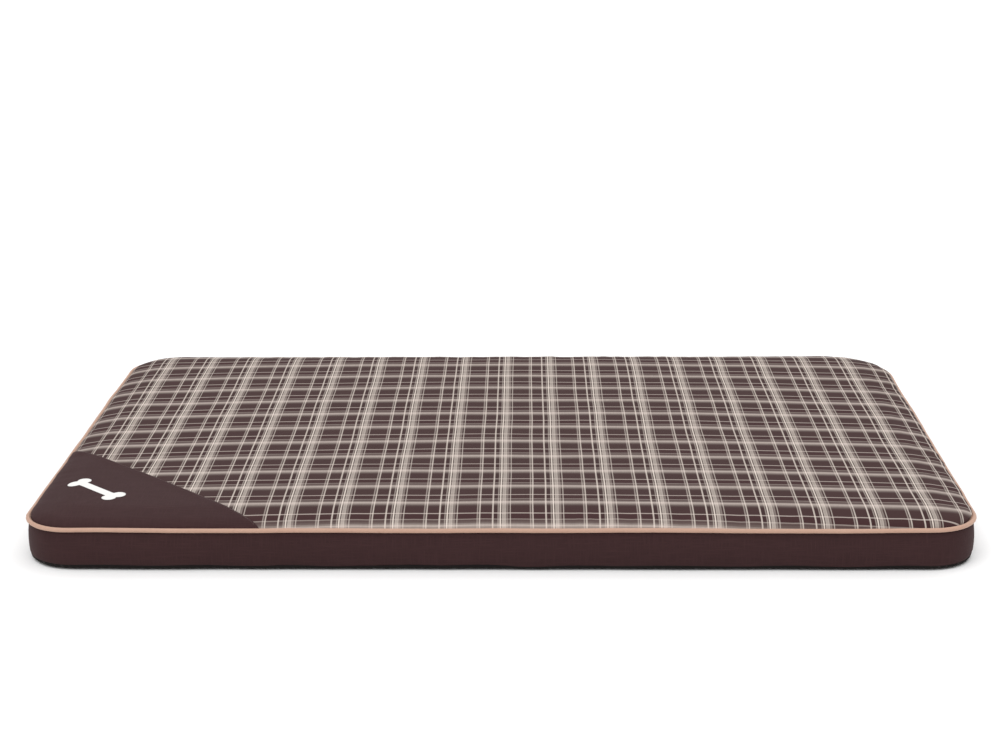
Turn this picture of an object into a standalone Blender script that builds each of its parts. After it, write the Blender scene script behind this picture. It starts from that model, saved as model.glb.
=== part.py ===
"""Pet cushion bed: a foam mattress in a box-edged cloth cover with piping and a zip.

Run with: blender --background --python part.py
Metres, +Z up. The front is -Y, the zip is in the back face at +Y, and the origin is on the
floor under the middle of the bed.

Cloth pieces are drawn as a line in (inset, z): inset is the distance inwards from the outline
of the bed. The line is thickened to the cloth's thickness and swept round the outline.
"""
import math

import bmesh
import bpy

# ---- driving sizes of the bed ----
LENGTH = 1.200              # over the piping, along X
WIDTH = 0.800               # over the piping, along Y
CORNER_RADIUS = 0.078       # of the outline, in plan
PIPING_HEIGHT = 0.0525      # middle of the piping above the floor
SHOULDER_RISE = 0.0055      # the top rolls up this much near the piping
SHOULDER_REACH = 0.0098     # how quickly it does so
DOME_RISE = 0.0034          # the stuffing lifts the middle this much more
BASE_SEAM_HEIGHT = 0.0061   # the base cloth turns up to this height

# ---- cloths ----
TOP_CLOTH = 0.0008
SIDE_CLOTH = 0.0008
BASE_CLOTH = 0.0010
PATCH_CLOTH = 0.0007
PIPING_CLOTH = 0.0005
LINER_CLOTH = 0.0004
LABEL_CLOTH = 0.00025
EMBLEM_THICKNESS = 0.0004
CORD_RADIUS = 0.0021        # cord inside the piping
SEAM_ALLOWANCE = 0.008
FOLD_ROOM = 0.00015         # half the gap left inside a folded edge
GAP = 0.0003                # between pieces that touch

# ---- corner patch and its emblem ----
PATCH_LEG = 0.310           # along each edge, from the square corner of the outline
EMBLEM_LENGTH = 0.126
EMBLEM_LOBE_RADIUS = 0.0106
EMBLEM_LOBE_OFFSET = 0.0086
EMBLEM_SHAFT_HALF = 0.0072
EMBLEM_FROM_CORNER = 0.145  # middle of the emblem, along the diagonal of the corner
EMBLEM_SHIFT = 0.048        # and towards the side edge, along the patch's long edge

# ---- zip ----
ZIP_OPENING = 0.910         # between the two ends of the side band
ZIP_LAP = 0.012             # the zip and its strips run this far under each end of the band
TAPE_THICKNESS = 0.0006
TAPE_TO_SEAM = 0.0059       # from the middle of the seam to the outer edge of each tape
TAPE_EDGE = 0.0010          # from the zip's middle line to the edge of each tape
COIL_EDGE = 0.0006          # from the zip's middle line to each coil
COIL_WIDTH = 0.0026
COIL_THICKNESS = 0.0016
STRIP_EDGE = 0.0050         # from the zip's middle line to the folded cloth edge
TURNING_SHORT = 0.0015      # the cloth folded under ends this far inside the tape's edge
STOP_LENGTH = 0.0020
STOP_THICKNESS = 0.0006

# ---- zip slider and pull tab ----
SLIDER_LENGTH = 0.010
SLIDER_PLAY = 0.0004
SLIDER_WALL = 0.0006
PLATE_THICKNESS = 0.0010
BLADE_HALF = 0.0003
BAIL_SPAN = 0.0038
BAIL_ROOM = 0.0018
BAIL_THICKNESS = 0.0006
BAIL_WIDTH = 0.0016
BAIL_LEG = 0.0008
TAB_LENGTH = 0.020
TAB_THICKNESS = 0.0008
TAB_HALF_WIDTH = 0.0026
TAB_NECK_HALF = 0.0018
TAB_EYE_LENGTH = 0.0037
TAB_BAR = 0.0010
STOP_TO_SLIDER = 0.0007

# ---- stuffing and label ----
COMFORT_FOAM = 0.0185
SOFT_CLEARANCE = 0.0005     # between the stuffing and what surrounds it
EDGE_CHAMFER = 0.0036       # on the foam's long edges
WADDING_CHAMFER = 0.002
LABEL_WIDTH = 0.028
LABEL_DROP = 0.020
LABEL_FROM_BAND_END = 0.020

# ---- fineness of the facets ----
CORNER_STEPS = 6
CORD_SIDES = 10
FOLD_STEPS = 4
LOBE_STEPS = 8
CROWN_STEPS = (0.0025, 0.006, 0.012, 0.020, 0.034, 0.070, 0.150, 0.240)
SMALLEST_ARC = 0.004

# ---- sizes that follow from the ones above ----
HALF_X = LENGTH / 2
HALF_Y = WIDTH / 2
PIPING_RADIUS = CORD_RADIUS + GAP + PIPING_CLOTH
FLANGE_HALF = GAP / 2 + PIPING_CLOTH
SIDE_LAP_Z = PIPING_HEIGHT - FLANGE_HALF - GAP - SIDE_CLOTH / 2
TOP_LAP_Z = PIPING_HEIGHT + FLANGE_HALF + GAP + PATCH_CLOTH + GAP + TOP_CLOTH / 2
TOP_FOLD_INSET = 2 * PIPING_RADIUS + GAP + PATCH_CLOTH + GAP
LAP_END = TOP_FOLD_INSET + SEAM_ALLOWANCE
LOW_LAP_Z = BASE_SEAM_HEIGHT + BASE_CLOTH / 2 + GAP + SIDE_CLOTH / 2
LAYER = SIDE_CLOTH + GAP    # the strips' seam allowances lie one layer inside the band's

COIL_BASE = TAPE_THICKNESS / 2 + GAP
COIL_TOP = COIL_BASE + COIL_THICKNESS
PLATE_LOW = COIL_TOP + SLIDER_PLAY
PLATE_TOP = PLATE_LOW + PLATE_THICKNESS
BAIL_TOP = PLATE_TOP + BAIL_ROOM + BAIL_THICKNESS
INNER_PLATE_TOP = -TAPE_THICKNESS / 2 - SLIDER_PLAY
INNER_PLATE_LOW = INNER_PLATE_TOP - PLATE_THICKNESS
SLIDER_HALF_WIDTH = COIL_EDGE + COIL_WIDTH + SLIDER_PLAY + SLIDER_WALL
ZIP_INSET = BAIL_TOP + GAP
ZIP_Z = (SIDE_LAP_Z + LOW_LAP_Z) / 2
TAPE_END = (SIDE_LAP_Z - LOW_LAP_Z) / 2 - TAPE_TO_SEAM
STRIP_BACK = ZIP_INSET - COIL_BASE
STRIP_FACE = STRIP_BACK - 2 * SIDE_CLOTH - 2 * FOLD_ROOM
BAND_FACE = STRIP_FACE - GAP - 2 * SIDE_CLOTH - 2 * FOLD_ROOM
BAND_END = ZIP_OPENING / 2
STRIP_END = BAND_END + ZIP_LAP
SLIDER_END = BAND_END - TAB_LENGTH - 2 * TAB_BAR
LOW_LAP_END = BAND_FACE + SEAM_ALLOWANCE + SIDE_CLOTH

LINER_INSET = ZIP_INSET - INNER_PLATE_LOW + SOFT_CLEARANCE
LINER_TOP = SIDE_LAP_Z - LAYER - SIDE_CLOTH / 2 - SOFT_CLEARANCE
LINER_BASE = BASE_CLOTH + GAP
LINER_STEP_Z = LOW_LAP_Z + LAYER + SIDE_CLOTH / 2 + SOFT_CLEARANCE
LINER_SEAM_Z = (LINER_TOP + LINER_STEP_Z) / 2
FOAM_OFFSET = LINER_CLOTH + GAP


# ---- scene and mesh helpers ----

def clear_scene():
    """Remove whatever the scene holds."""
    for obj in list(bpy.data.objects):
        bpy.data.objects.remove(obj, do_unlink=True)


def make_material(name, colour, roughness, metallic=0.0):
    """A Principled material with one colour."""
    material = bpy.data.materials.new(name)
    material.use_nodes = True
    shader = material.node_tree.nodes["Principled BSDF"]
    shader.inputs["Base Color"].default_value = (*colour, 1.0)
    shader.inputs["Roughness"].default_value = roughness
    shader.inputs["Metallic"].default_value = metallic
    return material


def make_object(name, points, faces, material, origin=(0.0, 0.0, 0.0)):
    """One closed mesh object with its faces pointing out and its origin where asked."""
    mesh = bpy.data.meshes.new(name)
    local = [tuple(p - o for p, o in zip(point, origin)) for point in points]
    mesh.from_pydata(local, [], faces)
    work = bmesh.new()
    work.from_mesh(mesh)
    bmesh.ops.recalc_face_normals(work, faces=work.faces)
    work.to_mesh(mesh)
    work.free()
    mesh.materials.append(material)
    mesh.shade_smooth()
    mesh.set_sharp_from_angle(angle=math.radians(40))
    obj = bpy.data.objects.new(name, mesh)
    obj.location = origin
    bpy.context.scene.collection.objects.link(obj)
    return obj


def boolean(obj, tool, operation):
    """Combine obj with a helper shape that isn't itself part of the bed."""
    tool.hide_render = True
    tool.display_type = "WIRE"
    modifier = obj.modifiers.new(operation.title(), "BOOLEAN")
    modifier.operation = operation
    modifier.object = tool
    modifier.solver = "EXACT"


# ---- lines in (inset, z) ----

def arc(centre, radius, start, end, steps):
    """Points along an arc, with its angles in degrees, both ends included."""
    points = []
    for step in range(steps + 1):
        angle = math.radians(start + (end - start) * step / steps)
        points.append((centre[0] + radius * math.cos(angle), centre[1] + radius * math.sin(angle)))
    return points


def unit_normal(a, b):
    """The unit normal on the left of the step from a to b."""
    length = math.hypot(b[0] - a[0], b[1] - a[1])
    return (-(b[1] - a[1]) / length, (b[0] - a[0]) / length)


def offset_line(line, distance):
    """The line moved to its left by a distance, with mitred corners."""
    normals = [unit_normal(a, b) for a, b in zip(line, line[1:])]
    moved = []
    for index, point in enumerate(line):
        before = normals[max(index - 1, 0)]
        after = normals[min(index, len(normals) - 1)]
        total = (before[0] + after[0], before[1] + after[1])
        scale = 2 * distance / (total[0] ** 2 + total[1] ** 2)
        moved.append((point[0] + total[0] * scale, point[1] + total[1] * scale))
    return moved


# ---- paths in plan, each given for an inset from the outline ----

def outline(inset):
    """The closed outline of the bed at an inset, clockwise from the back right corner."""
    radius = max(CORNER_RADIUS - inset, SMALLEST_ARC)
    reach_x = HALF_X - inset - radius
    reach_y = HALF_Y - inset - radius
    points = []
    for side_x, side_y, start in ((1, 1, 90), (1, -1, 0), (-1, -1, -90), (-1, 1, -180)):
        corner = (side_x * reach_x, side_y * reach_y)
        points += arc(corner, radius, start, start - 90, CORNER_STEPS)
    return points


def band_path(inset):
    """Front, sides and back corners, ending on each side of the zip."""
    back = HALF_Y - inset
    return [(BAND_END, back)] + outline(inset) + [(-BAND_END, back)]


def back_path(half_length):
    """A straight path along the back face."""
    def path(inset):
        return [(half_length, HALF_Y - inset), (-half_length, HALF_Y - inset)]
    return path


def label_path(inset):
    """A short straight path beside the end of the side band."""
    start = BAND_END + LABEL_FROM_BAND_END
    return [(start + LABEL_WIDTH, HALF_Y - inset), (start, HALF_Y - inset)]


# ---- swept solids ----

def add_rings(line, path, points):
    """Add one ring of points for each point of the line, and return their numbers."""
    rings = []
    for inset, height in line:
        first = len(points)
        points += [(x, y, height) for x, y in path(inset)]
        rings.append(list(range(first, len(points))))
    return rings


def bridge(ring_a, ring_b, closed, faces):
    """Join two rings with a strip of faces."""
    count = len(ring_a)
    for index in range(count if closed else count - 1):
        after = (index + 1) % count
        faces.append((ring_a[index], ring_a[after], ring_b[after], ring_b[index]))


def sweep_cloth(name, line, low, high, path, material, closed=True, middle=None):
    """Cloth between two offsets of a line, swept along a path.

    middle is "start" or "end" where that end of the line is filled across as a whole panel.
    """
    points = []
    faces = []
    inner = add_rings(offset_line(line, low), path, points)
    outer = add_rings(offset_line(line, high), path, points)
    for side in (inner, outer):
        for ring_a, ring_b in zip(side, side[1:]):
            bridge(ring_a, ring_b, closed, faces)
    for place, index in (("start", 0), ("end", -1)):
        if middle == place:
            faces.append(tuple(inner[index]))
            faces.append(tuple(outer[index]))
        else:
            bridge(inner[index], outer[index], closed, faces)
    if not closed:
        for end in (0, -1):
            for step in range(len(line) - 1):
                faces.append((inner[step][end], inner[step + 1][end],
                              outer[step + 1][end], outer[step][end]))
    return make_object(name, points, faces, material)


def sweep_slab(name, line, material):
    """A solid whose side follows the line, flat across its bottom and top."""
    points = []
    faces = []
    rings = add_rings(line, outline, points)
    for ring_a, ring_b in zip(rings, rings[1:]):
        bridge(ring_a, ring_b, True, faces)
    faces.append(tuple(rings[0]))
    faces.append(tuple(rings[-1]))
    return make_object(name, points, faces, material)


def prism(name, profile, low, high, axis, material, origin=(0.0, 0.0, 0.0)):
    """A flat profile extruded from low to high along an axis (0, 1 or 2 for X, Y or Z)."""
    others = [index for index in range(3) if index != axis]
    points = []
    for level in (low, high):
        for a, b in profile:
            point = [0.0, 0.0, 0.0]
            point[axis] = level
            point[others[0]] = a
            point[others[1]] = b
            points.append(tuple(point))
    count = len(profile)
    faces = [tuple(range(count)), tuple(range(count, 2 * count))]
    for index in range(count):
        after = (index + 1) % count
        faces.append((index, after, count + after, count + index))
    return make_object(name, points, faces, material, origin)


def back_y(offset):
    """Y of a level of the zip, counted outwards from the middle of its tape."""
    return HALF_Y - ZIP_INSET + offset


# ---- the cover ----

def top_line():
    """Middle of the top cloth: seam allowance, fold, shoulder, then the crowned middle."""
    radius = TOP_CLOTH / 2 + FOLD_ROOM
    centre = (TOP_FOLD_INSET + TOP_CLOTH / 2 + radius, TOP_LAP_Z + radius)
    line = [(LAP_END, TOP_LAP_Z)] + arc(centre, radius, -90, -240, FOLD_STEPS)
    start_inset, start_height = line[-1]
    for step in CROWN_STEPS:
        shoulder = SHOULDER_RISE * (1 - math.exp(-step / SHOULDER_REACH))
        dome = DOME_RISE * (1 - (1 - step / HALF_Y) ** 2)
        line.append((start_inset + step, start_height + shoulder + dome))
    return line


def make_top_panel(material):
    """The plaid top with its seam allowance turned in."""
    half = TOP_CLOTH / 2
    return sweep_cloth("top_panel", top_line(), -half, half, outline, material, middle="end")


def make_corner_patch(material, helper):
    """A plain triangle of cloth laid over the front left corner and caught in its seam."""
    low = TOP_CLOTH / 2 + GAP
    patch = sweep_cloth("corner_patch", top_line(), low, low + PATCH_CLOTH, outline,
                        material, middle="end")
    corner = (-HALF_X - LAP_END, -HALF_Y - LAP_END)
    leg = PATCH_LEG + 2 * LAP_END
    triangle = [corner, (corner[0] + leg, corner[1]), (corner[0], corner[1] + leg)]
    tool = prism("patch_outline", triangle, 0.0, 2 * PIPING_HEIGHT, 2, helper)
    boolean(patch, tool, "INTERSECT")
    return patch


def bone_outline():
    """A bone: a shaft with two round lobes at each end."""
    radius = EMBLEM_LOBE_RADIUS
    lobe_x = EMBLEM_LENGTH / 2 - radius
    notch = math.degrees(math.atan2(-EMBLEM_LOBE_OFFSET,
                                    math.sqrt(radius ** 2 - EMBLEM_LOBE_OFFSET ** 2)))
    rise = EMBLEM_SHAFT_HALF - EMBLEM_LOBE_OFFSET
    joint = 360 + math.degrees(math.atan2(rise, -math.sqrt(radius ** 2 - rise ** 2)))
    lobe = arc((lobe_x, EMBLEM_LOBE_OFFSET), radius, notch, joint, LOBE_STEPS)
    upper_left = [(-x, y) for x, y in reversed(lobe)]
    lower_left = [(-x, -y) for x, y in lobe]
    lower_right = [(x, -y) for x, y in reversed(lobe)]
    return lobe + upper_left[:-1] + lower_left + lower_right[:-1]


def make_corner_emblem(material, helper):
    """A bone lying flat on the patch, along its long edge."""
    low = TOP_CLOTH / 2 + GAP + PATCH_CLOTH + GAP
    crown = top_line()[FOLD_STEPS + 2:]
    emblem = sweep_cloth("corner_emblem", crown, low, low + EMBLEM_THICKNESS, outline,
                         material, middle="end")
    diagonal = math.sqrt(0.5)
    middle_x = -HALF_X + (EMBLEM_FROM_CORNER - EMBLEM_SHIFT) * diagonal
    middle_y = -HALF_Y + (EMBLEM_FROM_CORNER + EMBLEM_SHIFT) * diagonal
    turned = []
    for x, y in bone_outline():
        turned.append((middle_x + (x + y) * diagonal, middle_y + (y - x) * diagonal))
    tool = prism("emblem_outline", turned, 0.0, 2 * PIPING_HEIGHT, 2, helper)
    boolean(emblem, tool, "INTERSECT")
    return emblem


def make_piping(wrap_material, cord_material):
    """A cord in a folded strip of cloth, whose two layers run into the seam."""
    middle = (PIPING_RADIUS, PIPING_HEIGHT)
    cord = arc(middle, CORD_RADIUS, 0, 360, CORD_SIDES)[:-1]
    points = []
    faces = []
    rings = add_rings(cord, outline, points)
    for ring_a, ring_b in zip(rings, rings[1:] + rings[:1]):
        bridge(ring_a, ring_b, True, faces)
    make_object("piping_cord", points, faces, cord_material)

    radius = CORD_RADIUS + GAP + PIPING_CLOTH / 2
    layer = GAP / 2 + PIPING_CLOTH / 2
    start = math.degrees(math.asin(layer / radius))
    line = [(LAP_END, PIPING_HEIGHT + layer)]
    line += arc(middle, radius, start, 360 - start, CORD_SIDES)
    line += [(LAP_END, PIPING_HEIGHT - layer)]
    half = PIPING_CLOTH / 2
    sweep_cloth("piping_wrap", line, -half, half, outline, wrap_material)


def under_piping(face, depth=0.0):
    """Side cloth from its seam allowance, round under the piping and onto its face."""
    radius = PIPING_RADIUS + GAP + SIDE_CLOTH / 2 + depth
    lap = SIDE_LAP_Z - depth
    middle = (PIPING_RADIUS, PIPING_HEIGHT)
    start = -math.degrees(math.asin((PIPING_HEIGHT - lap) / radius))
    reach = face - PIPING_RADIUS
    line = [(LAP_END, lap)]
    if reach >= 0:
        return line + arc(middle, radius, start, -math.degrees(math.acos(reach / radius)), FOLD_STEPS)
    line += arc(middle, radius, start, -90, FOLD_STEPS)
    return line + arc((PIPING_RADIUS, PIPING_HEIGHT - radius + reach), -reach, 90, 180, FOLD_STEPS)[1:]


def low_turn(face, depth=0.0):
    """Side cloth from its face, round into the seam allowance at the base."""
    lap = LOW_LAP_Z + depth
    corner = (face + SIDE_CLOTH, lap + SIDE_CLOTH)
    return arc(corner, SIDE_CLOTH, 180, 270, 2) + [(LOW_LAP_END, lap)]


def make_boxing_band(material, helper):
    """The side band: front, sides and back corners, its ends turned under beside the zip."""
    face = BAND_FACE + SIDE_CLOTH / 2
    half = SIDE_CLOTH / 2
    line = under_piping(face) + low_turn(face)
    band = sweep_cloth("boxing_band", line, -half, half, band_path, material, closed=False)
    bite = SIDE_CLOTH / 4
    outer = HALF_Y - BAND_FACE - bite
    inner = HALF_Y - BAND_FACE - 2 * SIDE_CLOTH - 2 * FOLD_ROOM
    low = LOW_LAP_Z + 2 * SIDE_CLOTH
    high = PIPING_HEIGHT - PIPING_RADIUS - 4 * SIDE_CLOTH
    for side, name in ((1, "band_turning_right"), (-1, "band_turning_left")):
        near = side * (BAND_END + bite)
        mid = side * (BAND_END + SIDE_CLOTH + bite)
        far = side * (BAND_END + ZIP_LAP)
        turning = [(near, outer), (mid, outer), (mid, inner + SIDE_CLOTH),
                   (far, inner + SIDE_CLOTH), (far, inner), (near, inner)]
        boolean(band, prism(name, turning, low, high, 2, helper), "UNION")
    return band


def make_rear_strips(material):
    """Two strips of side cloth, above and below the zip, each with a folded edge."""
    face = STRIP_FACE + SIDE_CLOTH / 2
    half = SIDE_CLOTH / 2
    radius = half + FOLD_ROOM
    back = face + 2 * radius
    upper_fold = arc((face + radius, ZIP_Z + STRIP_EDGE + half + radius), radius, 180, 360, 2 * FOLD_STEPS)
    upper = under_piping(face, LAYER) + upper_fold + [(back, ZIP_Z + TAPE_END - TURNING_SHORT)]
    lower_fold = arc((face + radius, ZIP_Z - STRIP_EDGE - half - radius), radius, 180, 0, 2 * FOLD_STEPS)
    lower = low_turn(face, LAYER)[::-1] + lower_fold + [(back, ZIP_Z - TAPE_END + TURNING_SHORT)]
    path = back_path(STRIP_END)
    sweep_cloth("rear_strip_upper", upper, -half, half, path, material, closed=False)
    sweep_cloth("rear_strip_lower", lower, -half, half, path, material, closed=False)


def make_base_panel(material):
    """The dark base cloth, turned up round the lower edge into the seam."""
    half = BASE_CLOTH / 2
    edge = BAND_FACE + BASE_CLOTH + half
    turn = BASE_SEAM_HEIGHT - BASE_CLOTH - half
    line = [(LOW_LAP_END + 2 * turn, half)]
    line += arc((edge + turn, half + turn), turn, 270, 180, FOLD_STEPS)
    line += arc((edge + BASE_CLOTH, BASE_SEAM_HEIGHT - BASE_CLOTH), BASE_CLOTH, 180, 90, 2)[1:]
    line += [(LOW_LAP_END, BASE_SEAM_HEIGHT)]
    return sweep_cloth("base_panel", line, -half, half, outline, material, middle="start")


def make_care_label(material):
    """A blank folded label hanging from the seam under the piping, on the back."""
    half = LABEL_CLOTH / 2
    radius = half + FOLD_ROOM
    inner = BAND_FACE - GAP - half
    top = PIPING_HEIGHT - PIPING_RADIUS - GAP
    fold = arc((inner - radius, top - LABEL_DROP), radius, 0, -180, FOLD_STEPS)
    line = [(inner, top)] + fold + [(inner - 2 * radius, top)]
    return sweep_cloth("care_label", line, -half, half, label_path, material, closed=False)


# ---- the zip ----

def along_back(name, profile, half_length, material):
    """A (level, height) profile of the zip, run along the back."""
    section = [(back_y(level), ZIP_Z + height) for level, height in profile]
    return prism(name, section, -half_length, half_length, 0, material)


def make_zip_chain(tape_material, coil_material):
    """Upper and lower tape, each with its coil on the outer side."""
    corner = COIL_THICKNESS / 3
    for side, word in ((1, "upper"), (-1, "lower")):
        half = TAPE_THICKNESS / 2
        near = side * TAPE_EDGE
        far = side * TAPE_END
        tape = [(-half, near), (half, near), (half, far), (-half, far)]
        along_back("zip_tape_" + word, tape, STRIP_END, tape_material)
        near = side * COIL_EDGE
        far = side * (COIL_EDGE + COIL_WIDTH)
        step = side * corner
        coil = [(COIL_BASE, near), (COIL_TOP - corner, near), (COIL_TOP, near + step),
                (COIL_TOP, far - step), (COIL_TOP - corner, far), (COIL_BASE, far)]
        along_back("zip_coil_" + word, coil, STRIP_END, coil_material)


def make_zip_stops(material):
    """A bridge over both coils at one end of the travel, and a hook on each at the other."""
    cap = COIL_TOP + GAP
    roof = cap + STOP_THICKNESS
    wall = COIL_EDGE + COIL_WIDTH + GAP
    foot = wall + STOP_THICKNESS
    floor = COIL_BASE
    near = SLIDER_END + SLIDER_LENGTH / 2 + STOP_TO_SLIDER
    bridge_profile = [(floor, -foot), (roof, -foot), (roof, foot), (floor, foot),
                      (floor, wall), (cap, wall), (cap, -wall), (floor, -wall)]
    section = [(back_y(level), ZIP_Z + height) for level, height in bridge_profile]
    prism("zip_bottom_stop", section, -near - STOP_LENGTH, -near, 0, material)
    for side, word in ((1, "upper"), (-1, "lower")):
        inner = side * COIL_EDGE / 2
        hook = [(cap, inner), (roof, inner), (roof, side * foot), (floor, side * foot),
                (floor, side * wall), (cap, side * wall)]
        section = [(back_y(level), ZIP_Z + height) for level, height in hook]
        prism("zip_top_stop_" + word, section, near, near + STOP_LENGTH, 0, material)


def make_zip_slider(material, helper):
    """Two plates joined by a thin blade, with side walls and a bail for the pull tab."""
    wide = SLIDER_HALF_WIDTH
    inside = wide - SLIDER_WALL
    lip = COIL_BASE + GAP / 2
    section = [(PLATE_TOP, -wide), (PLATE_TOP, wide), (lip, wide), (lip, inside),
               (PLATE_LOW, inside), (PLATE_LOW, BLADE_HALF), (INNER_PLATE_TOP, BLADE_HALF),
               (INNER_PLATE_TOP, wide), (INNER_PLATE_LOW, wide), (INNER_PLATE_LOW, -wide),
               (INNER_PLATE_TOP, -wide), (INNER_PLATE_TOP, -BLADE_HALF), (PLATE_LOW, -BLADE_HALF),
               (PLATE_LOW, -inside), (lip, -inside), (lip, -wide)]
    placed = [(back_y(level), ZIP_Z + height) for level, height in section]
    origin = (SLIDER_END, back_y(0), ZIP_Z)
    slider = prism("zip_slider", placed, SLIDER_END - SLIDER_LENGTH / 2,
                   SLIDER_END + SLIDER_LENGTH / 2, 0, material, origin)
    inner = BAIL_SPAN / 2
    outer = inner + BAIL_LEG
    shoulder = outer - BAIL_THICKNESS
    root = PLATE_TOP - PLATE_THICKNESS / 4
    under = PLATE_TOP + BAIL_ROOM
    arch = [(-outer, root), (-outer, under), (-shoulder, BAIL_TOP), (shoulder, BAIL_TOP),
            (outer, under), (outer, root), (inner, root), (inner, under), (-inner, under),
            (-inner, root)]
    placed = [(SLIDER_END + x, back_y(level)) for x, level in arch]
    bail = prism("bail", placed, ZIP_Z - BAIL_WIDTH / 2, ZIP_Z + BAIL_WIDTH / 2, 2, helper)
    boolean(slider, bail, "UNION")
    return slider


def make_zip_pull_tab(material, helper):
    """A flat tab hung on the bail by the bar at its end, lying along the closed zip."""
    axis_level = PLATE_TOP + BAIL_ROOM / 2
    eye_half = BAIL_WIDTH / 2 + SLIDER_PLAY
    rail = eye_half + TAB_BAR
    bar = TAB_BAR / 2
    round_x = TAB_LENGTH - TAB_HALF_WIDTH
    side = [(-bar, rail), (bar + TAB_EYE_LENGTH, rail), (bar + TAB_EYE_LENGTH + rail, TAB_NECK_HALF),
            (round_x, TAB_HALF_WIDTH)]
    tip = arc((round_x, 0.0), TAB_HALF_WIDTH, 90, -90, 2 * FOLD_STEPS)[1:-1]
    shape = side + tip + [(x, -z) for x, z in reversed(side)]
    placed = [(SLIDER_END - x, ZIP_Z + z) for x, z in shape]
    origin = (SLIDER_END, back_y(axis_level), ZIP_Z)
    low = back_y(axis_level - TAB_THICKNESS / 2)
    high = back_y(axis_level + TAB_THICKNESS / 2)
    tab = prism("zip_pull_tab", placed, low, high, 1, material, origin)
    eye = [(bar, -eye_half), (bar + TAB_EYE_LENGTH, -eye_half),
           (bar + TAB_EYE_LENGTH, eye_half), (bar, eye_half)]
    placed = [(SLIDER_END - x, ZIP_Z + z) for x, z in eye]
    hole = prism("tab_eye", placed, low - TAB_THICKNESS, high + TAB_THICKNESS, 1, helper)
    boolean(tab, hole, "DIFFERENCE")
    return tab


# ---- the stuffing ----

def lower_side(inset, base):
    """Lower edge of the stuffing, stepped in over the seam allowances."""
    step = LOW_LAP_END + SOFT_CLEARANCE - LINER_INSET + inset
    rise = LINER_STEP_Z + inset - LINER_INSET
    return [(step + EDGE_CHAMFER, base), (step, base + EDGE_CHAMFER), (step, rise),
            (inset, rise + step - inset)]


def upper_side(inset, top):
    """Upper edge of the stuffing, chamfered under the seam allowances."""
    return [(inset, top - EDGE_CHAMFER), (inset + EDGE_CHAMFER, top)]


def make_liner(material):
    """A thin inner bag in two halves that meet half way up the side."""
    half = LINER_CLOTH / 2
    middle = LINER_INSET + half
    panel = middle + 2 * LAP_END
    lower = [(panel, LINER_BASE + half)] + lower_side(middle, LINER_BASE + half)
    lower += [(middle, LINER_SEAM_Z - GAP / 2)]
    upper = [(middle, LINER_SEAM_Z + GAP / 2)] + upper_side(middle, LINER_TOP - half)
    upper += [(panel, LINER_TOP - half)]
    sweep_cloth("liner_lower", lower, -half, half, outline, material, middle="start")
    sweep_cloth("liner_upper", upper, -half, half, outline, material, middle="end")


def make_foam(base_material, comfort_material):
    """Firm base foam with a softer comfort layer on it."""
    inset = LINER_INSET + FOAM_OFFSET
    top = LINER_TOP - FOAM_OFFSET
    joint = top - COMFORT_FOAM
    base = lower_side(inset, LINER_BASE + FOAM_OFFSET) + [(inset, joint - GAP)]
    comfort = [(inset, joint)] + upper_side(inset, top)
    sweep_slab("base_foam", base, base_material)
    sweep_slab("comfort_foam", comfort, comfort_material)


def make_wadding(material):
    """A crowned layer of wadding between the lined foam and the top cloth."""
    inset = LAP_END + SOFT_CLEARANCE
    under_cloth = offset_line(top_line(), -TOP_CLOTH / 2 - GAP)
    crown = [point for point in under_cloth if point[0] > inset + WADDING_CHAMFER]
    edge = [(inset, LINER_TOP + GAP), (inset, crown[0][1] - WADDING_CHAMFER)]
    return sweep_slab("wadding_layer", edge + crown, material)


def build():
    """Make every piece of the bed."""
    clear_scene()
    plaid = make_material("plaid_cloth", (0.20, 0.14, 0.13), 0.85)
    brown = make_material("brown_cloth", (0.055, 0.030, 0.029), 0.80)
    tan = make_material("piping_cloth", (0.52, 0.33, 0.25), 0.60)
    black = make_material("base_cloth", (0.012, 0.010, 0.010), 0.90)
    white = make_material("emblem_print", (0.85, 0.84, 0.82), 0.60)
    cotton = make_material("cord_cotton", (0.80, 0.78, 0.72), 0.90)
    coil = make_material("zip_coil", (0.045, 0.028, 0.027), 0.45)
    metal = make_material("zip_metal", (0.25, 0.22, 0.20), 0.35, 0.9)
    satin = make_material("label_satin", (0.82, 0.81, 0.78), 0.50)
    liner = make_material("liner_cloth", (0.75, 0.75, 0.74), 0.85)
    firm = make_material("firm_foam", (0.62, 0.66, 0.72), 0.95)
    soft = make_material("soft_foam", (0.85, 0.80, 0.62), 0.95)
    fleece = make_material("wadding", (0.90, 0.90, 0.89), 1.0)

    make_top_panel(plaid)
    make_corner_patch(brown, brown)
    make_corner_emblem(white, white)
    make_piping(tan, cotton)
    make_boxing_band(brown, brown)
    make_rear_strips(brown)
    make_base_panel(black)
    make_care_label(satin)
    make_zip_chain(brown, coil)
    make_zip_stops(metal)
    make_zip_slider(metal, metal)
    make_zip_pull_tab(metal, metal)
    make_liner(liner)
    make_foam(firm, soft)
    make_wadding(fleece)


build()
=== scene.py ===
"""Pet cushion bed: the sewn cover, its stuffing and its zip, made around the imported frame.

Run with: blender --background --python scene.py
Metres, +Z up. The front is -Y and the zip is in the back face at +Y.

The sewn pieces follow one plan of the bed. Each is drawn as rings: a ring has an inset, which is
its distance inwards from the outline, and a height. Every ring has the same columns, so that the
pieces meet along their seams.
"""
import math
from contextlib import contextmanager

import bmesh
import bpy
from bpy.props import FloatProperty, FloatVectorProperty, IntProperty, PointerProperty
from mathutils import Matrix, Vector, noise
from mathutils.bvhtree import BVHTree


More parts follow.
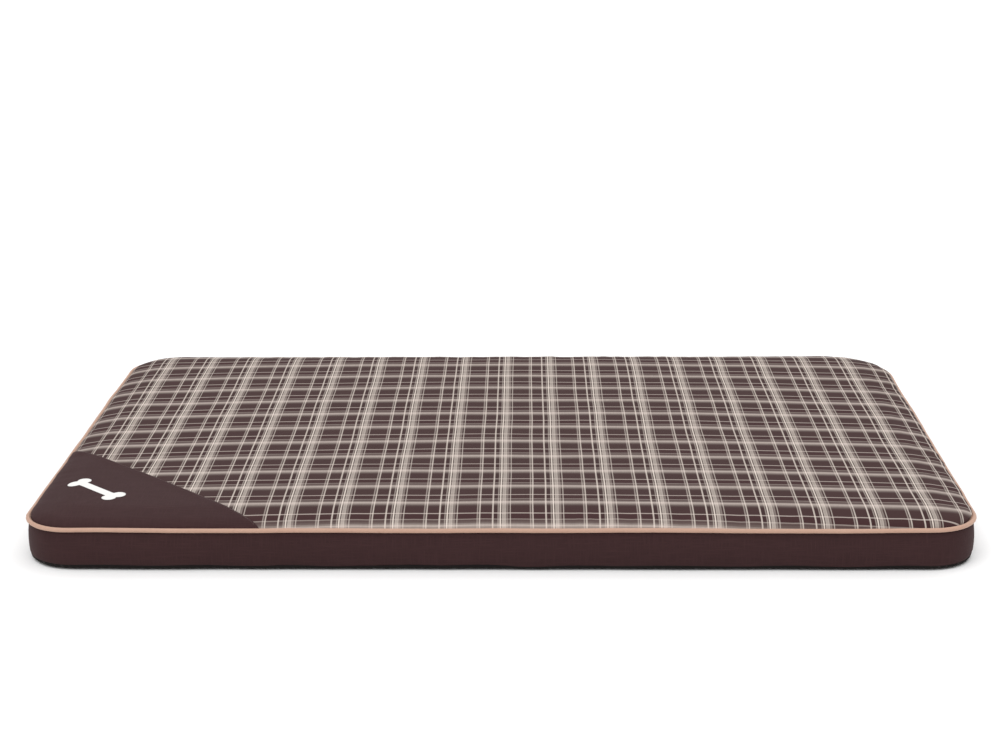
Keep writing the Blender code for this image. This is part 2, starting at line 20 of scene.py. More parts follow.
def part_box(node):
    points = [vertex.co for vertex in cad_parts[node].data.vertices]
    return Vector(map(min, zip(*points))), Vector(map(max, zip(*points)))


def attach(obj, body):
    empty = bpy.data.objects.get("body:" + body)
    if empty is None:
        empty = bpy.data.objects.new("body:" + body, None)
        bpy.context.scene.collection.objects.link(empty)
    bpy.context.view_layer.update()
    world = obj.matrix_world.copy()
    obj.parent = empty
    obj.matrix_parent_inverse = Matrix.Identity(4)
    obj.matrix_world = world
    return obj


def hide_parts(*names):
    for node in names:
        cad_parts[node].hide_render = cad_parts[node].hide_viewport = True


bl_info = {
    "name": "Pet Cushion Bed",
    "version": (1, 0, 0),
    "blender": (4, 5, 0),
    "location": "View3D > Sidebar > Cushion Bed",
    "description": "Makes a foam pet bed with a plaid top, piping, a side band and a zip",
    "category": "Object",
}

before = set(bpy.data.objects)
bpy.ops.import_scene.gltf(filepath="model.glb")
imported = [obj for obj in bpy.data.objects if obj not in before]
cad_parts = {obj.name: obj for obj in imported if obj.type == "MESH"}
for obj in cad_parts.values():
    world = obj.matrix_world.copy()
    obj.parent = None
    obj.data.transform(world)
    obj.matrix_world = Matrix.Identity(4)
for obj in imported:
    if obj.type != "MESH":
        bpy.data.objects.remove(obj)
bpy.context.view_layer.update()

# ---- sizes taken from the frame ----
PIPING_LOW, PIPING_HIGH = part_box("piping_wrap")
HALF_X = PIPING_HIGH[0]
HALF_Y = PIPING_HIGH[1]
CORD_RADIUS = (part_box("piping_cord")[1][2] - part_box("piping_cord")[0][2]) / 2
SEAM_Z = (PIPING_LOW[2] + PIPING_HIGH[2]) / 2
WRAP_RADIUS = (PIPING_HIGH[2] - PIPING_LOW[2]) / 2
TAPE_LOW, TAPE_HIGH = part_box("zip_tape_upper")
ZIP_Z = (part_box("zip_tape_lower")[0][2] + TAPE_HIGH[2]) / 2
TAPE_Y = (TAPE_LOW[1] + TAPE_HIGH[1]) / 2
ZIP_END = TAPE_HIGH[0]
PATCH_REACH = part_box("corner_patch")[1][0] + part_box("corner_patch")[0][1]  # x + y along its edge
DIAGONAL = math.sqrt(0.5)
DOWN = Vector((0, 0, -1))
FORWARD = Vector((0, -1, 0))

# ---- plan of the sewn bed ----
CORNERS = {(1, 1): 0.098, (1, -1): 0.0647, (-1, -1): 0.066, (-1, 1): 0.0717}
PLAIN_INSET = 0.100         # rings further in than this are straight-sided
FAN_START = 0.55            # part of each side whose columns stay square to it
BAND_END = 0.455            # the side band ends here on each side of the zip
BACK_Y = HALF_Y - 0.02      # pieces further back than this lie in the back face
SHOULDER_START = 0.0078     # inset where the top cloth starts to roll up
SHOULDER_Z = 0.0556         # height of the top cloth there
BASE_Z = 0.0005             # height of the base cloth over the floor
BAND_TOP = 0.0475           # the side band puckers most at these two heights
BAND_FOOT = 0.0090

# Rings of the closed cover, from the plain top down the side to the plain base.
TOP_INSETS = (0.100, 0.088, 0.076, 0.065, 0.055, 0.046, 0.038, 0.031, 0.025, 0.020, 0.016,
              0.0128, 0.0103, 0.0084)
TOP_TUCK = ((0.0070, 0.0546), (0.0061, 0.0529))
SIDE_RINGS = ((0.0040, 0.0497), (0.0034, 0.0486), (0.0028, 0.0466), (0.0021, 0.0432),
              (0.0013, 0.0380), (0.0007, 0.0320), (0.0005, 0.0260), (0.0007, 0.0200),
              (0.0010, 0.0145), (0.0014, 0.0102), (0.0019, 0.0076))
BASE_SEAM = (0.0026, 0.0062)
BASE_RINGS = ((0.0025, 0.0047), (0.0031, 0.0031), (0.0045, 0.0017), (0.0068, 0.0008),
              (0.0100, 0.0005), (0.0150, 0.0005), (0.0230, 0.0005), (0.0350, 0.0005),
              (0.0520, 0.0005), (0.0740, 0.0005), (0.1000, 0.0005))

DOT_SPACING = 0.010         # between the rubber dots of the base cloth

SHAPES = {}                 # finished meshes that later pieces are laid on


# ---- settings a user would change ----

def metres(name, description, value):
    """A setting that is a length."""
    return FloatProperty(name=name, description=description, default=value, unit="LENGTH")


def colour(name, description, value):
    """A setting that is a colour."""
    return FloatVectorProperty(name=name, description=description, subtype="COLOR", size=3,
                               min=0.0, max=1.0, default=value)


class BedSizes(bpy.types.PropertyGroup):
    """Sizes of the sewn cover."""

    cell: metres("Cell", "Width of a cell of the cloth before it is smoothed", 0.010)
    shoulder_rise: metres("Shoulder rise", "How far the top rolls up near the piping", 0.0078)
    shoulder_reach: metres("Shoulder reach", "How quickly the top rolls up", 0.0085)
    dome_rise: metres("Dome rise", "How far the stuffing lifts the middle", 0.0018)
    pressure: FloatProperty(name="Stuffing pressure", description="Push of the stuffing on the cloth",
                            default=4.0)
    swell: metres("Swell", "Farthest that the cloth may move when stuffed", 0.0025)
    frames: IntProperty(name="Frames", description="Frames for the cloth to settle", default=20)
    fullness: FloatProperty(name="Fullness", description="Extra cloth eased into the seams",
                            default=0.02, subtype="FACTOR")
    pucker: metres("Pucker", "Depth of the gathers beside the piping", 0.0011)
    stray: metres("Stray", "How far seams wander from a straight line", 0.0014)
    overhang: metres("Overhang", "Extra height of the top where it hides the piping", 0.0013)
    cloth: metres("Cloth", "Thickness of the top and side cloth", 0.0008)


class PlaidSizes(bpy.types.PropertyGroup):
    """Repeat and run of the plaid in each direction."""

    warp_repeat: metres("Warp repeat", "Repeat of the lines that run to the back", 0.0667)
    warp_start: FloatProperty(name="Warp start", description="Place of the brightest warp line, in repeats",
                              default=0.9834)
    lean: FloatProperty(name="Lean", description="How far the lines that run to the back lean to the left",
                        default=0.0087)
    bow: FloatProperty(name="Bow", description="Sag of the lines from side to side, per metre",
                       default=0.065)
    ease: FloatProperty(name="Ease", description="Share of extra cloth eased in towards the front seam",
                        default=0.08, subtype="FACTOR")
    ease_start: metres("Ease start", "Where the extra cloth starts", -0.15)
    weft_repeat: metres("Weft repeat", "Repeat of the lines that run from side to side", 0.0666)
    weft_start: metres("Weft start", "Place of the front main weft line", -0.3439)


class StitchSizes(bpy.types.PropertyGroup):
    """Sewing thread."""

    length: metres("Stitch", "Length of one stitch", 0.0030)
    gap: metres("Gap", "Gap between stitches", 0.0009)
    radius: metres("Thread radius", "Half the thickness of the thread", 0.00028)


class BedColours(bpy.types.PropertyGroup):
    """Colours of the cloths, the thread and the zip."""

    ground: colour("Plaid ground", "Dark ground of the plaid", (0.0515, 0.0255, 0.0250))
    stripe: colour("Plaid stripe", "Cream yarn of the plaid", (0.83, 0.74, 0.655))
    brown: colour("Side cloth", "Plain cloth of the band and corner", (0.0375, 0.0160, 0.0166))
    piping: colour("Piping", "Cloth round the piping cord", (0.485, 0.305, 0.225))
    base: colour("Base cloth", "Cloth underneath", (0.0085, 0.0070, 0.0068))
    emblem: colour("Emblem", "Print on the corner", (0.86, 0.85, 0.83))
    thread: colour("Thread", "Sewing thread", (0.085, 0.046, 0.044))


class StageSizes(bpy.types.PropertyGroup):
    """Camera, floor and lights."""

    camera_place: FloatVectorProperty(name="Camera", description="Place of the camera",
                                      default=(0.0559, -2.7445, 0.9152), subtype="TRANSLATION")
    camera_tilt: FloatProperty(name="Tilt", description="Turn of the camera up from straight down",
                               default=math.radians(74.229), subtype="ANGLE")
    camera_turn: FloatProperty(name="Turn", description="Turn of the camera to the left",
                               default=math.radians(1.271), subtype="ANGLE")
    camera_roll: FloatProperty(name="Roll", description="Roll of the camera about its line of sight",
                               default=math.radians(-0.419), subtype="ANGLE")
    lens: FloatProperty(name="Lens", description="Focal length in millimetres", default=72.72)
    sky: FloatProperty(name="Sky", description="Strength of the even light", default=0.74)
    key: FloatProperty(name="Key light", description="Strength of the soft light from above", default=1.35)


# ---- shader arithmetic ----

def socket_named(sockets, name):
    """The enabled socket with a name, or the one at an index."""
    if isinstance(name, int):
        return sockets[name]
    for socket in sockets:
        if socket.name == name and socket.enabled:
            return socket
    raise KeyError(name)


class Value:
    """One output of a node. Arithmetic on it adds Math nodes."""

    def __init__(self, finish, socket):
        self.finish = finish
        self.socket = socket

    def __add__(self, other):
        return self.finish.math("ADD", self, other)

    def __radd__(self, other):
        return self.finish.math("ADD", other, self)

    def __sub__(self, other):
        return self.finish.math("SUBTRACT", self, other)

    def __rsub__(self, other):
        return self.finish.math("SUBTRACT", other, self)

    def __mul__(self, other):
        return self.finish.math("MULTIPLY", self, other)

    def __rmul__(self, other):
        return self.finish.math("MULTIPLY", other, self)

    def __truediv__(self, other):
        return self.finish.math("DIVIDE", self, other)


class Finish:
    """One material and the nodes that are added to it."""

    def __init__(self, name, roughness, metallic=0.0, sheen=0.0, sheen_tint=(1.0, 1.0, 1.0), specular=0.3):
        self.material = bpy.data.materials.new(name)
        self.material.use_nodes = True
        self.tree = self.material.node_tree
        self.shader = self.tree.nodes["Principled BSDF"]
        self.set("Roughness", roughness)
        self.set("Metallic", metallic)
        self.set("Specular IOR Level", specular)
        self.set("Sheen Weight", sheen)
        self.set("Sheen Roughness", 0.45)
        self.set("Sheen Tint", (*sheen_tint, 1.0))

    def set(self, name, value):
        """Set or link one socket of the surface shader."""
        socket = self.shader.inputs[name]
        if isinstance(value, Value):
            self.tree.links.new(value.socket, socket)
        else:
            socket.default_value = value

    def node(self, kind, settings, values, output=0):
        """Add a node: its settings first, then its sockets' values or links."""
        node = self.tree.nodes.new(kind)
        for name, setting in settings.items():
            if name == "stops":
                ramp = node.color_ramp
                while len(ramp.elements) > 1:
                    ramp.elements.remove(ramp.elements[-1])
                for index, (place, amount) in enumerate(setting):
                    stop = ramp.elements[0] if index == 0 else ramp.elements.new(place)
                    stop.position = place
                    stop.color = (amount, amount, amount, 1.0)
            elif name == "interpolation":
                node.color_ramp.interpolation = setting
            else:
                setattr(node, name, setting)
        for name, value in values.items():
            socket = socket_named(node.inputs, name)
            if isinstance(value, Value):
                self.tree.links.new(value.socket, socket)
            else:
                socket.default_value = value
        return Value(self, socket_named(node.outputs, output))

    def math(self, operation, *operands):
        """One Math node."""
        return self.node("ShaderNodeMath", {"operation": operation}, dict(enumerate(operands)))

    def mix(self, factor, first, second):
        """One colour mixed into another."""
        values = {"Factor": factor, "A": self.rgba(first), "B": self.rgba(second)}
        return self.node("ShaderNodeMix", {"data_type": "RGBA"}, values, "Result")

    def rgba(self, value):
        """A colour with its alpha, or a link as it is."""
        return value if isinstance(value, Value) else (*value, 1.0)

    def ramp(self, value, stops, interpolation="LINEAR"):
        """A grey ramp of (place, amount) stops."""
        settings = {"interpolation": interpolation, "stops": stops}
        return self.node("ShaderNodeValToRGB", settings, {0: value}, "Color")

    def coordinates(self):
        """Lengthwise and crosswise place on the cut cloth, in metres."""
        place = self.node("ShaderNodeUVMap", {"uv_map": "cut"}, {})
        along = self.node("ShaderNodeSeparateXYZ", {}, {0: place}, "X")
        across = self.node("ShaderNodeSeparateXYZ", {}, {0: place}, "Y")
        return along, across

    def combine(self, x, y, z=0.0):
        """A vector from three numbers."""
        return self.node("ShaderNodeCombineXYZ", {}, {0: x, 1: y, 2: z})

    def noise(self, vector, scale, detail=2.0, roughness=0.5):
        """Noise from 0 to 1 at a place."""
        return self.node("ShaderNodeTexNoise", {},
                         {"Vector": vector, "Scale": scale, "Detail": detail, "Roughness": roughness})

    def place(self):
        """The place on the object, in metres."""
        return self.node("ShaderNodeTexCoord", {}, {}, "Object")

    def threads(self, along, across, fine, long):
        """Uneven threads in both directions, from 0 to 1."""
        warp = self.noise(self.combine(along * fine, across * long), 1.0, 1.0)
        weft = self.noise(self.combine(along * long, across * fine, 7.3), 1.0, 1.0)
        return self.math("MAXIMUM", warp, weft)

    def bump(self, height, strength, distance):
        """A bump that feeds the surface's normal."""
        values = {"Height": height, "Strength": strength, "Distance": distance}
        self.set("Normal", self.node("ShaderNodeBump", {}, values))

    def two_tone(self, amount, dark, light, strength, depth):
        """Colour the surface between two tones and raise it where it is light."""
        self.set("Base Color", self.mix(amount, dark, light))
        self.bump(amount, strength, depth)
        return self.material


def shade(base, amount):
    """A colour made lighter or darker."""
    return tuple(min(1.0, channel * amount) for channel in base)


PLAID_DRIFT = 0.0026        # how far the plaid's lines wander


def plaid_finish(sizes, colours):
    """Yarn-dyed plaid: cream and grey lines in both directions over a dark ground."""
    finish = Finish("plaid_cloth_surface", 0.88, sheen=0.04, sheen_tint=(0.9, 0.8, 0.75), specular=0.12)
    along, across = finish.coordinates()
    drift = (finish.noise(finish.combine(along, across), 6.0, 1.0) - 0.5) * PLAID_DRIFT
    leaning = along + across * sizes.lean
    eased = finish.math("MAXIMUM", sizes.ease_start - across, 0.0) * sizes.ease
    bowed = across + along * along * sizes.bow - eased
    warp_repeats = (leaning + drift) / sizes.warp_repeat + (1.0 - sizes.warp_start + 8.0)
    weft_repeats = (sizes.weft_start - bowed + drift) / sizes.weft_repeat + 20.0
    warp_place = finish.math("FRACT", warp_repeats)
    weft_place = finish.math("FRACT", weft_repeats)
    warp = finish.ramp(warp_place, (
        (0.000, 0.70), (0.012, 0.70), (0.018, 0.05), (0.034, 0.05), (0.040, 0.44), (0.050, 0.42),
        (0.058, 0.24), (0.066, 0.42), (0.078, 0.26), (0.088, 0.42), (0.102, 0.38), (0.112, 0.10),
        (0.126, 0.16), (0.138, 0.20), (0.150, 0.10), (0.158, 0.0), (0.178, 0.0), (0.184, 0.38),
        (0.196, 0.38), (0.202, 0.0), (0.540, 0.0)))
    warp_pair = finish.ramp(warp_place, (
        (0.000, 0.0), (0.557, 0.0), (0.562, 0.27), (0.578, 0.25), (0.584, 0.05), (0.602, 0.05),
        (0.607, 0.50), (0.624, 0.48), (0.630, 0.0), (0.844, 0.0), (0.850, 0.50), (0.872, 0.48),
        (0.879, 0.0), (0.948, 0.0), (0.954, 0.26), (0.970, 0.25), (0.976, 0.04), (0.988, 0.04),
        (0.994, 0.70), (1.000, 0.70)))
    weft = finish.ramp(weft_place, (
        (0.000, 0.46), (0.016, 0.45), (0.030, 0.33), (0.060, 0.31), (0.085, 0.25), (0.110, 0.19),
        (0.140, 0.11), (0.170, 0.06), (0.210, 0.02), (0.250, 0.0), (0.545, 0.0), (0.552, 0.38),
        (0.583, 0.36), (0.592, 0.0), (0.799, 0.0), (0.808, 0.23), (0.830, 0.21), (0.842, 0.05),
        (0.885, 0.05), (0.905, 0.08), (0.935, 0.09), (0.950, 0.20), (0.980, 0.25), (0.990, 0.44),
        (1.000, 0.46)))
    flank = finish.ramp(warp_place, (
        (0.000, 0.6), (0.026, 0.9), (0.036, 0.9), (0.044, 0.0), (0.158, 0.0), (0.163, 0.8), (0.176, 0.8),
        (0.202, 0.0), (0.584, 0.0), (0.590, 0.8), (0.601, 0.8), (0.608, 0.0), (0.878, 0.0),
        (0.890, 0.7), (0.945, 0.7), (0.954, 0.3), (1.000, 0.6)))
    reddish = finish.ramp(weft_place, (
        (0.000, 0.0), (0.590, 0.0), (0.605, 1.0), (0.795, 1.0), (0.815, 0.3), (0.850, 1.0), (0.940, 0.9),
        (0.970, 0.0), (1.000, 0.0)))
    yarn = finish.threads(along, across, 620.0, 45.0)
    fade = finish.noise(finish.combine(along, across, 3.1), 14.0, 2.0)
    uneven = 0.80 + 0.40 * yarn
    ground = finish.mix(reddish, colours.ground, (colours.ground[0] * 0.95, colours.ground[1] * 0.82,
                                                  colours.ground[2] * 0.86))
    ground = finish.mix(flank * 0.42, ground, shade(colours.ground, 0.45))
    ground = finish.mix(fade * 0.35, ground, shade(colours.ground, 0.72))
    open_warp = 1.0 - finish.math("MINIMUM", (warp + warp_pair) * uneven, 1.0)
    open_weft = 1.0 - finish.math("MINIMUM", weft * uneven, 1.0)
    cover = 1.0 - open_warp * open_weft
    pale = finish.mix(weft * 2.0, colours.stripe, (colours.stripe[0], colours.stripe[1] * 0.965,
                                                   colours.stripe[2] * 0.985))
    finish.set("Base Color", finish.mix(cover, ground, pale))
    finish.bump(yarn, 0.30, 0.0006)
    return finish.material


def worn_cloth(finish, along, across, fine, base):
    """Uneven threads, and the colour of cloth that is slightly faded."""
    yarn = finish.threads(along, across, fine, 40.0)
    fade = finish.noise(finish.combine(along, across, 1.7), 9.0, 3.0)
    worn = finish.mix(yarn, shade(base, 0.70), shade(base, 1.42))
    return yarn, finish.mix(fade * 0.45, worn, shade(base, 0.72))


def plain_cloth_finish(name, base, fine=600.0, roughness=0.86, sheen=0.05, tint=(0.8, 0.6, 0.6)):
    """Plain woven cloth with uneven threads and slight fading."""
    finish = Finish(name, roughness, sheen=sheen, sheen_tint=tint, specular=0.15)
    along, across = finish.coordinates()
    yarn, faded = worn_cloth(finish, along, across, fine, base)
    finish.set("Base Color", faded)
    finish.set("Roughness", roughness - 0.10 * yarn)
    finish.bump(yarn, 0.35, 0.0005)
    return finish.material


def base_finish(base):
    """Dark non-slip cloth: an even weave with small rubber dots in staggered rows."""
    finish = Finish("base_cloth_surface", 0.92, sheen=0.05, sheen_tint=(0.6, 0.55, 0.5), specular=0.15)
    along, across = finish.coordinates()
    yarn, cloth = worn_cloth(finish, along, across, 420.0, base)
    rows = across / DOT_SPACING
    stagger = finish.math("FLOORED_MODULO", finish.math("FLOOR", rows), 2.0) * 0.5
    beside = finish.math("FRACT", along / DOT_SPACING + stagger) - 0.5
    above = finish.math("FRACT", rows) - 0.5
    away = finish.math("SQRT", beside * beside + above * above)
    dot = finish.ramp(away, ((0.0, 1.0), (0.14, 0.95), (0.20, 0.55), (0.24, 0.0)))
    finish.set("Base Color", finish.mix(dot, cloth, shade(base, 2.1)))
    finish.set("Roughness", 0.92 - 0.30 * dot)
    finish.bump(yarn * 0.25 + dot, 0.5, 0.0006)
    return finish.material


def piping_finish(base):
    """Smooth bias-cut cloth, its threads running slantwise round the cord."""
    finish = Finish("piping_cloth_surface", 0.58, sheen=0.20, sheen_tint=(1.0, 0.85, 0.75), specular=0.4)
    along, across = finish.coordinates()
    slant = finish.noise(finish.combine((along + across) * 700.0, (along - across) * 90.0), 1.0, 1.0)
    patchy = finish.noise(finish.combine(along, across), 24.0, 2.0)
    cloth = finish.mix(slant, shade(base, 0.84), shade(base, 1.12))
    cloth = finish.mix(patchy * 0.4, cloth, (base[0] * 0.86, base[1] * 0.72, base[2] * 0.68))
    finish.set("Base Color", cloth)
    finish.bump(slant, 0.25, 0.0004)
    return finish.material


def print_finish(base):
    """A rubbery print with the cloth's weave showing faintly through."""
    finish = Finish("emblem_print_surface", 0.55, specular=0.4)
    along, across = finish.coordinates()
    yarn = finish.threads(along, across, 500.0, 50.0)
    return finish.two_tone(yarn, shade(base, 0.86), base, 0.2, 0.0003)


# ---- plan and rings ----

def smooth(value, low, high):
    """0 below low, 1 above high and a soft step between."""
    part = min(1.0, max(0.0, (value - low) / (high - low)))
    return part * part * (3.0 - 2.0 * part)


def side_place(part, half, radius, inset):
    """Place along one half side: straight length, angle round the corner."""
    inner = half - PLAIN_INSET
    bend = max(radius, inset)
    rounding = max(radius - inset, 0.0)
    straight = half - bend
    extra = straight + math.pi / 4 * rounding - inner
    fan = max(0.0, (part - FAN_START) / (1.0 - FAN_START))
    length = part * inner + extra * fan * fan
    if rounding == 0.0 or length <= straight:
        return min(length, straight), 0.0
    return straight, (length - straight) / rounding


def plan_point(side, part, inset):
    """A point of the plan: side is one of +X, +Y, -X, -Y, part goes from -1 to 1 along it."""
    axis, sign = side
    end = 1 if part >= 0 else -1
    corner = (sign, end) if axis == 0 else (end, sign)
    radius = CORNERS[corner]
    halves = (HALF_X, HALF_Y)
    straight, angle = side_place(abs(part), halves[1 - axis], radius, inset)
    bend = max(radius, inset)
    rounding = max(radius - inset, 0.0)
    across = halves[axis] - bend + rounding * math.cos(angle)
    if rounding == 0.0:
        across = halves[axis] - inset
    along = straight + rounding * math.sin(angle)
    place = [0.0, 0.0]
    place[axis] = sign * across
    place[1 - axis] = end * along
    return place[0], place[1]


def columns(cell):
    """The columns round the bed, anticlockwise from the front right corner, and the grid's counts."""
    across = 2 * round((HALF_X - PLAIN_INSET) / cell)
    deep = 2 * round((HALF_Y - PLAIN_INSET) / cell)
    around = [((0, 1), -1.0 + 2.0 * step / deep) for step in range(deep)]
    around += [((1, 1), 1.0 - 2.0 * step / across) for step in range(across)]
    around += [((0, -1), 1.0 - 2.0 * step / deep) for step in range(deep)]
    around += [((1, -1), -1.0 + 2.0 * step / across) for step in range(across)]
    return around, across, deep


def nearest_edge(x, y):
    """Inset of a point, the outline point nearest to it, and the way out."""
    corner = (1 if x >= 0 else -1, 1 if y >= 0 else -1)
    radius = CORNERS[corner]
    over_x = abs(x) - (HALF_X - radius)
    over_y = abs(y) - (HALF_Y - radius)
    if over_x > 0 and over_y > 0:
        reach = math.hypot(over_x, over_y)
        outward = Vector((corner[0] * over_x / reach, corner[1] * over_y / reach, 0.0))
        inset = radius - reach
    elif HALF_X - abs(x) < HALF_Y - abs(y):
        outward = Vector((corner[0], 0.0, 0.0))
        inset = HALF_X - abs(x)
    else:
        outward = Vector((0.0, corner[1], 0.0))
        inset = HALF_Y - abs(y)
    foot = Vector((x, y, 0.0)) + outward * inset
    return inset, foot, outward


def sway(point, amount):
    """How far the sewn bed strays from its drawn shape: not at all beside the zip."""
    inset, foot, outward = nearest_edge(point.x, point.y)
    away = (1.0 - smooth(foot.y, HALF_Y - 0.10, HALF_Y - 0.02)) * math.exp(-max(inset, 0.0) / 0.05)
    level = smooth(point.z, 0.0, 0.012)
    out = noise.noise(foot * 8.0) + 0.5 * noise.noise(foot * 21.0)
    up = noise.noise(foot * 6.0 + Vector((0.0, 0.0, 5.0)))
    seam = noise.noise(foot * 13.0 + Vector((0.0, 0.0, 9.0)))
    low_seam = math.exp(-((point.z - BASE_SEAM[1]) / 0.0035) ** 2)
    rise = up * level + 2.2 * seam * low_seam
    return outward * (out * amount * away) + Vector((0.0, 0.0, rise * amount * away))


def top_height(inset, sizes):
    """Height of the top cloth at an inset."""
    step = max(inset - SHOULDER_START, 0.0)
    shoulder = sizes.shoulder_rise * (1 - math.exp(-step / sizes.shoulder_reach))
    dome = sizes.dome_rise * (1 - (1 - min(step / HALF_Y, 1.0)) ** 2)
    return SHOULDER_Z + shoulder + dome


def crown(sizes):
    """The height of the top cloth at any place."""
    return lambda x, y: top_height(nearest_edge(x, y)[0], sizes)


def level(height):
    """A height that is the same at any place."""
    return lambda x, y: height


def overhung(inset, height, column, lean_out, sizes):
    """A top ring's point pushed out over the piping, on the sides and the back."""
    outward = nearest_edge(*plan_point(*column, inset))[2]
    amount = smooth(outward.y, -0.92, -0.25) * (1.0 - 0.5 * smooth(-outward.x, 0.3, 0.8))
    fade = math.exp(-max(inset - TOP_INSETS[-1], 0.0) / 0.020)
    place = plan_point(*column, inset - lean_out * amount * fade)
    return Vector((*place, height + sizes.overhang * amount * fade))


def grid_places(across, deep):
    """The plain middle of the plan as rows of (x, y)."""
    inner_x = HALF_X - PLAIN_INSET
    inner_y = HALF_Y - PLAIN_INSET
    rows = []
    for j in range(deep + 1):
        y = -inner_y + 2 * inner_y * j / deep
        rows.append([(-inner_x + 2 * inner_x * i / across, y) for i in range(across + 1)])
    return rows


def ring_number(i, j, across, deep):
    """The column that a grid point on the rim of the middle belongs to, or None inside."""
    if i == across:
        return j
    if j == deep:
        return deep + across - i
    if i == 0:
        return deep + across + deep - j
    if j == 0:
        return (deep + across + deep + i) % (2 * (across + deep))
    return None


def add_middle(points, faces, first_ring, across, deep, height, upward):
    """Fill the plain middle with a grid that shares its rim with a ring."""
    rows = grid_places(across, deep)
    number = {}
    for j, row in enumerate(rows):
        for i, (x, y) in enumerate(row):
            column = ring_number(i, j, across, deep)
            if column is None:
                number[i, j] = len(points)
                points.append(Vector((x, y, height(x, y))))
            else:
                number[i, j] = first_ring + column
    for j in range(deep):
        for i in range(across):
            face = [number[i, j], number[i + 1, j], number[i + 1, j + 1], number[i, j + 1]]
            faces.append(face if upward else face[::-1])


def ring_points(around, inset, height):
    """The points of one ring."""
    return [Vector((*plan_point(*column, inset), height)) for column in around]


def bridge(faces, first, second, count, closed=True):
    """Join two rings with a strip of faces."""
    for step in range(count if closed else count - 1):
        after = (step + 1) % count
        faces.append([first + step, second + step, second + after, first + after])


def join_rows(faces, rows, row, first=0, closed=True):
    """Join rows of points that were made one after the other."""
    for index in range(rows - 1):
        start = first + index * row
        bridge(faces, start, start + row, row, closed)


@contextmanager
def editing(mesh):
    """Change a mesh's points and faces."""
    work = bmesh.new()
    work.from_mesh(mesh)
    yield work
    work.to_mesh(mesh)
    work.free()


def outward_faces(obj):
    """Point the faces of a closed piece outwards."""
    with editing(obj.data) as work:
        bmesh.ops.recalc_face_normals(work, faces=work.faces)


def mesh_object(name, points, faces, material, layers=None):
    """A mesh object from points and faces, with an optional cut coordinate for each point."""
    mesh = bpy.data.meshes.new(name)
    mesh.from_pydata([tuple(point) for point in points], [], [tuple(face) for face in faces])
    mesh.validate()
    if layers is not None:
        layer = mesh.uv_layers.new(name="cut")
        for loop in mesh.loops:
            layer.data[loop.index].uv = layers[loop.vertex_index]
    if material is not None:
        mesh.materials.append(material)
    mesh.shade_smooth()
    obj = bpy.data.objects.new(name, mesh)
    bpy.context.scene.collection.objects.link(obj)
    return obj


def apply_modifiers(obj):
    """Make the object's modifiers part of its mesh."""
    bpy.context.view_layer.update()
    graph = bpy.context.evaluated_depsgraph_get()
    mesh = bpy.data.meshes.new_from_object(obj.evaluated_get(graph))
    old = obj.data
    obj.modifiers.clear()
    obj.data = mesh
    bpy.data.meshes.remove(old)
    mesh.name = obj.name


def smooth_once(obj):
    """Subdivide the piece and keep the result."""
    modifier = obj.modifiers.new("Smooth", "SUBSURF")
    modifier.levels = 1
    modifier.render_levels = 1
    modifier.boundary_smooth = "PRESERVE_CORNERS"
    apply_modifiers(obj)


def thicken(obj, thickness, offset=-1.0):
    """Give a sheet its thickness and keep the result."""
    modifier = obj.modifiers.new("Cloth", "SOLIDIFY")
    modifier.thickness = thickness
    modifier.offset = offset
    modifier.use_quality_normals = True
    apply_modifiers(obj)


def settle(points, faces, pins, ease, sizes):
    """Stuff the closed cover by cloth simulation and return its points."""
    obj = mesh_object("cover_form", points, faces, None)
    pin_group = obj.vertex_groups.new(name="pins")
    ease_group = obj.vertex_groups.new(name="ease")
    for index, (pin, loose) in enumerate(zip(pins, ease)):
        pin_group.add([index], pin, "REPLACE")
        ease_group.add([index], loose, "REPLACE")
    modifier = obj.modifiers.new("Stuffing", "CLOTH")
    cloth = modifier.settings
    cloth.quality = 6
    cloth.mass = 0.25
    cloth.tension_stiffness = 18.0
    cloth.compression_stiffness = 14.0
    cloth.shear_stiffness = 6.0
    cloth.bending_stiffness = 0.4
    cloth.use_pressure = True
    cloth.uniform_pressure_force = sizes.pressure
    cloth.vertex_group_mass = "pins"
    cloth.vertex_group_shrink = "ease"
    cloth.shrink_min = 0.0
    cloth.shrink_max = -sizes.fullness
    cloth.effector_weights.gravity = 0.0
    modifier.collision_settings.use_collision = False
    modifier.point_cache.frame_start = 1
    modifier.point_cache.frame_end = sizes.frames
    scene = bpy.context.scene
    for step in range(1, sizes.frames + 1):
        scene.frame_set(step)
    apply_modifiers(obj)
    settled = []
    for before, vertex in zip(points, obj.data.vertices):
        move = vertex.co - before
        if move.length > sizes.swell:
            move *= sizes.swell / move.length
        settled.append(before + move)
    scene.frame_set(1)
    mesh = obj.data
    bpy.data.objects.remove(obj)
    bpy.data.meshes.remove(mesh)
    return settled


def gathers(point, sizes):
    """Depth of the gathers beside the piping at a point of the top."""
    inset, foot = nearest_edge(point.x, point.y)[:2]
    near = math.exp(-((inset - 0.012) / 0.020) ** 2) + 0.30 * math.exp(-max(inset - 0.02, 0.0) / 0.05)
    ridge = noise.noise(foot * 44.0) * 0.8 + noise.noise(foot * 95.0 + Vector((4.0, 0.0, 0.0))) * 0.45
    strong = 0.55 + 0.9 * max(0.0, noise.noise(foot * 5.0 + Vector((0.0, 3.0, 0.0))))
    if foot.x > HALF_X - 0.10:
        strong += 0.35
    hollow = noise.noise(Vector((point.x * 7.0, point.y * 7.0, 2.0))) * 0.7
    hollow += noise.noise(Vector((point.x * 17.0, point.y * 17.0, 4.0))) * 0.3
    return sizes.pucker * (ridge * near * strong + 0.9 * hollow * smooth(inset, 0.01, 0.06))


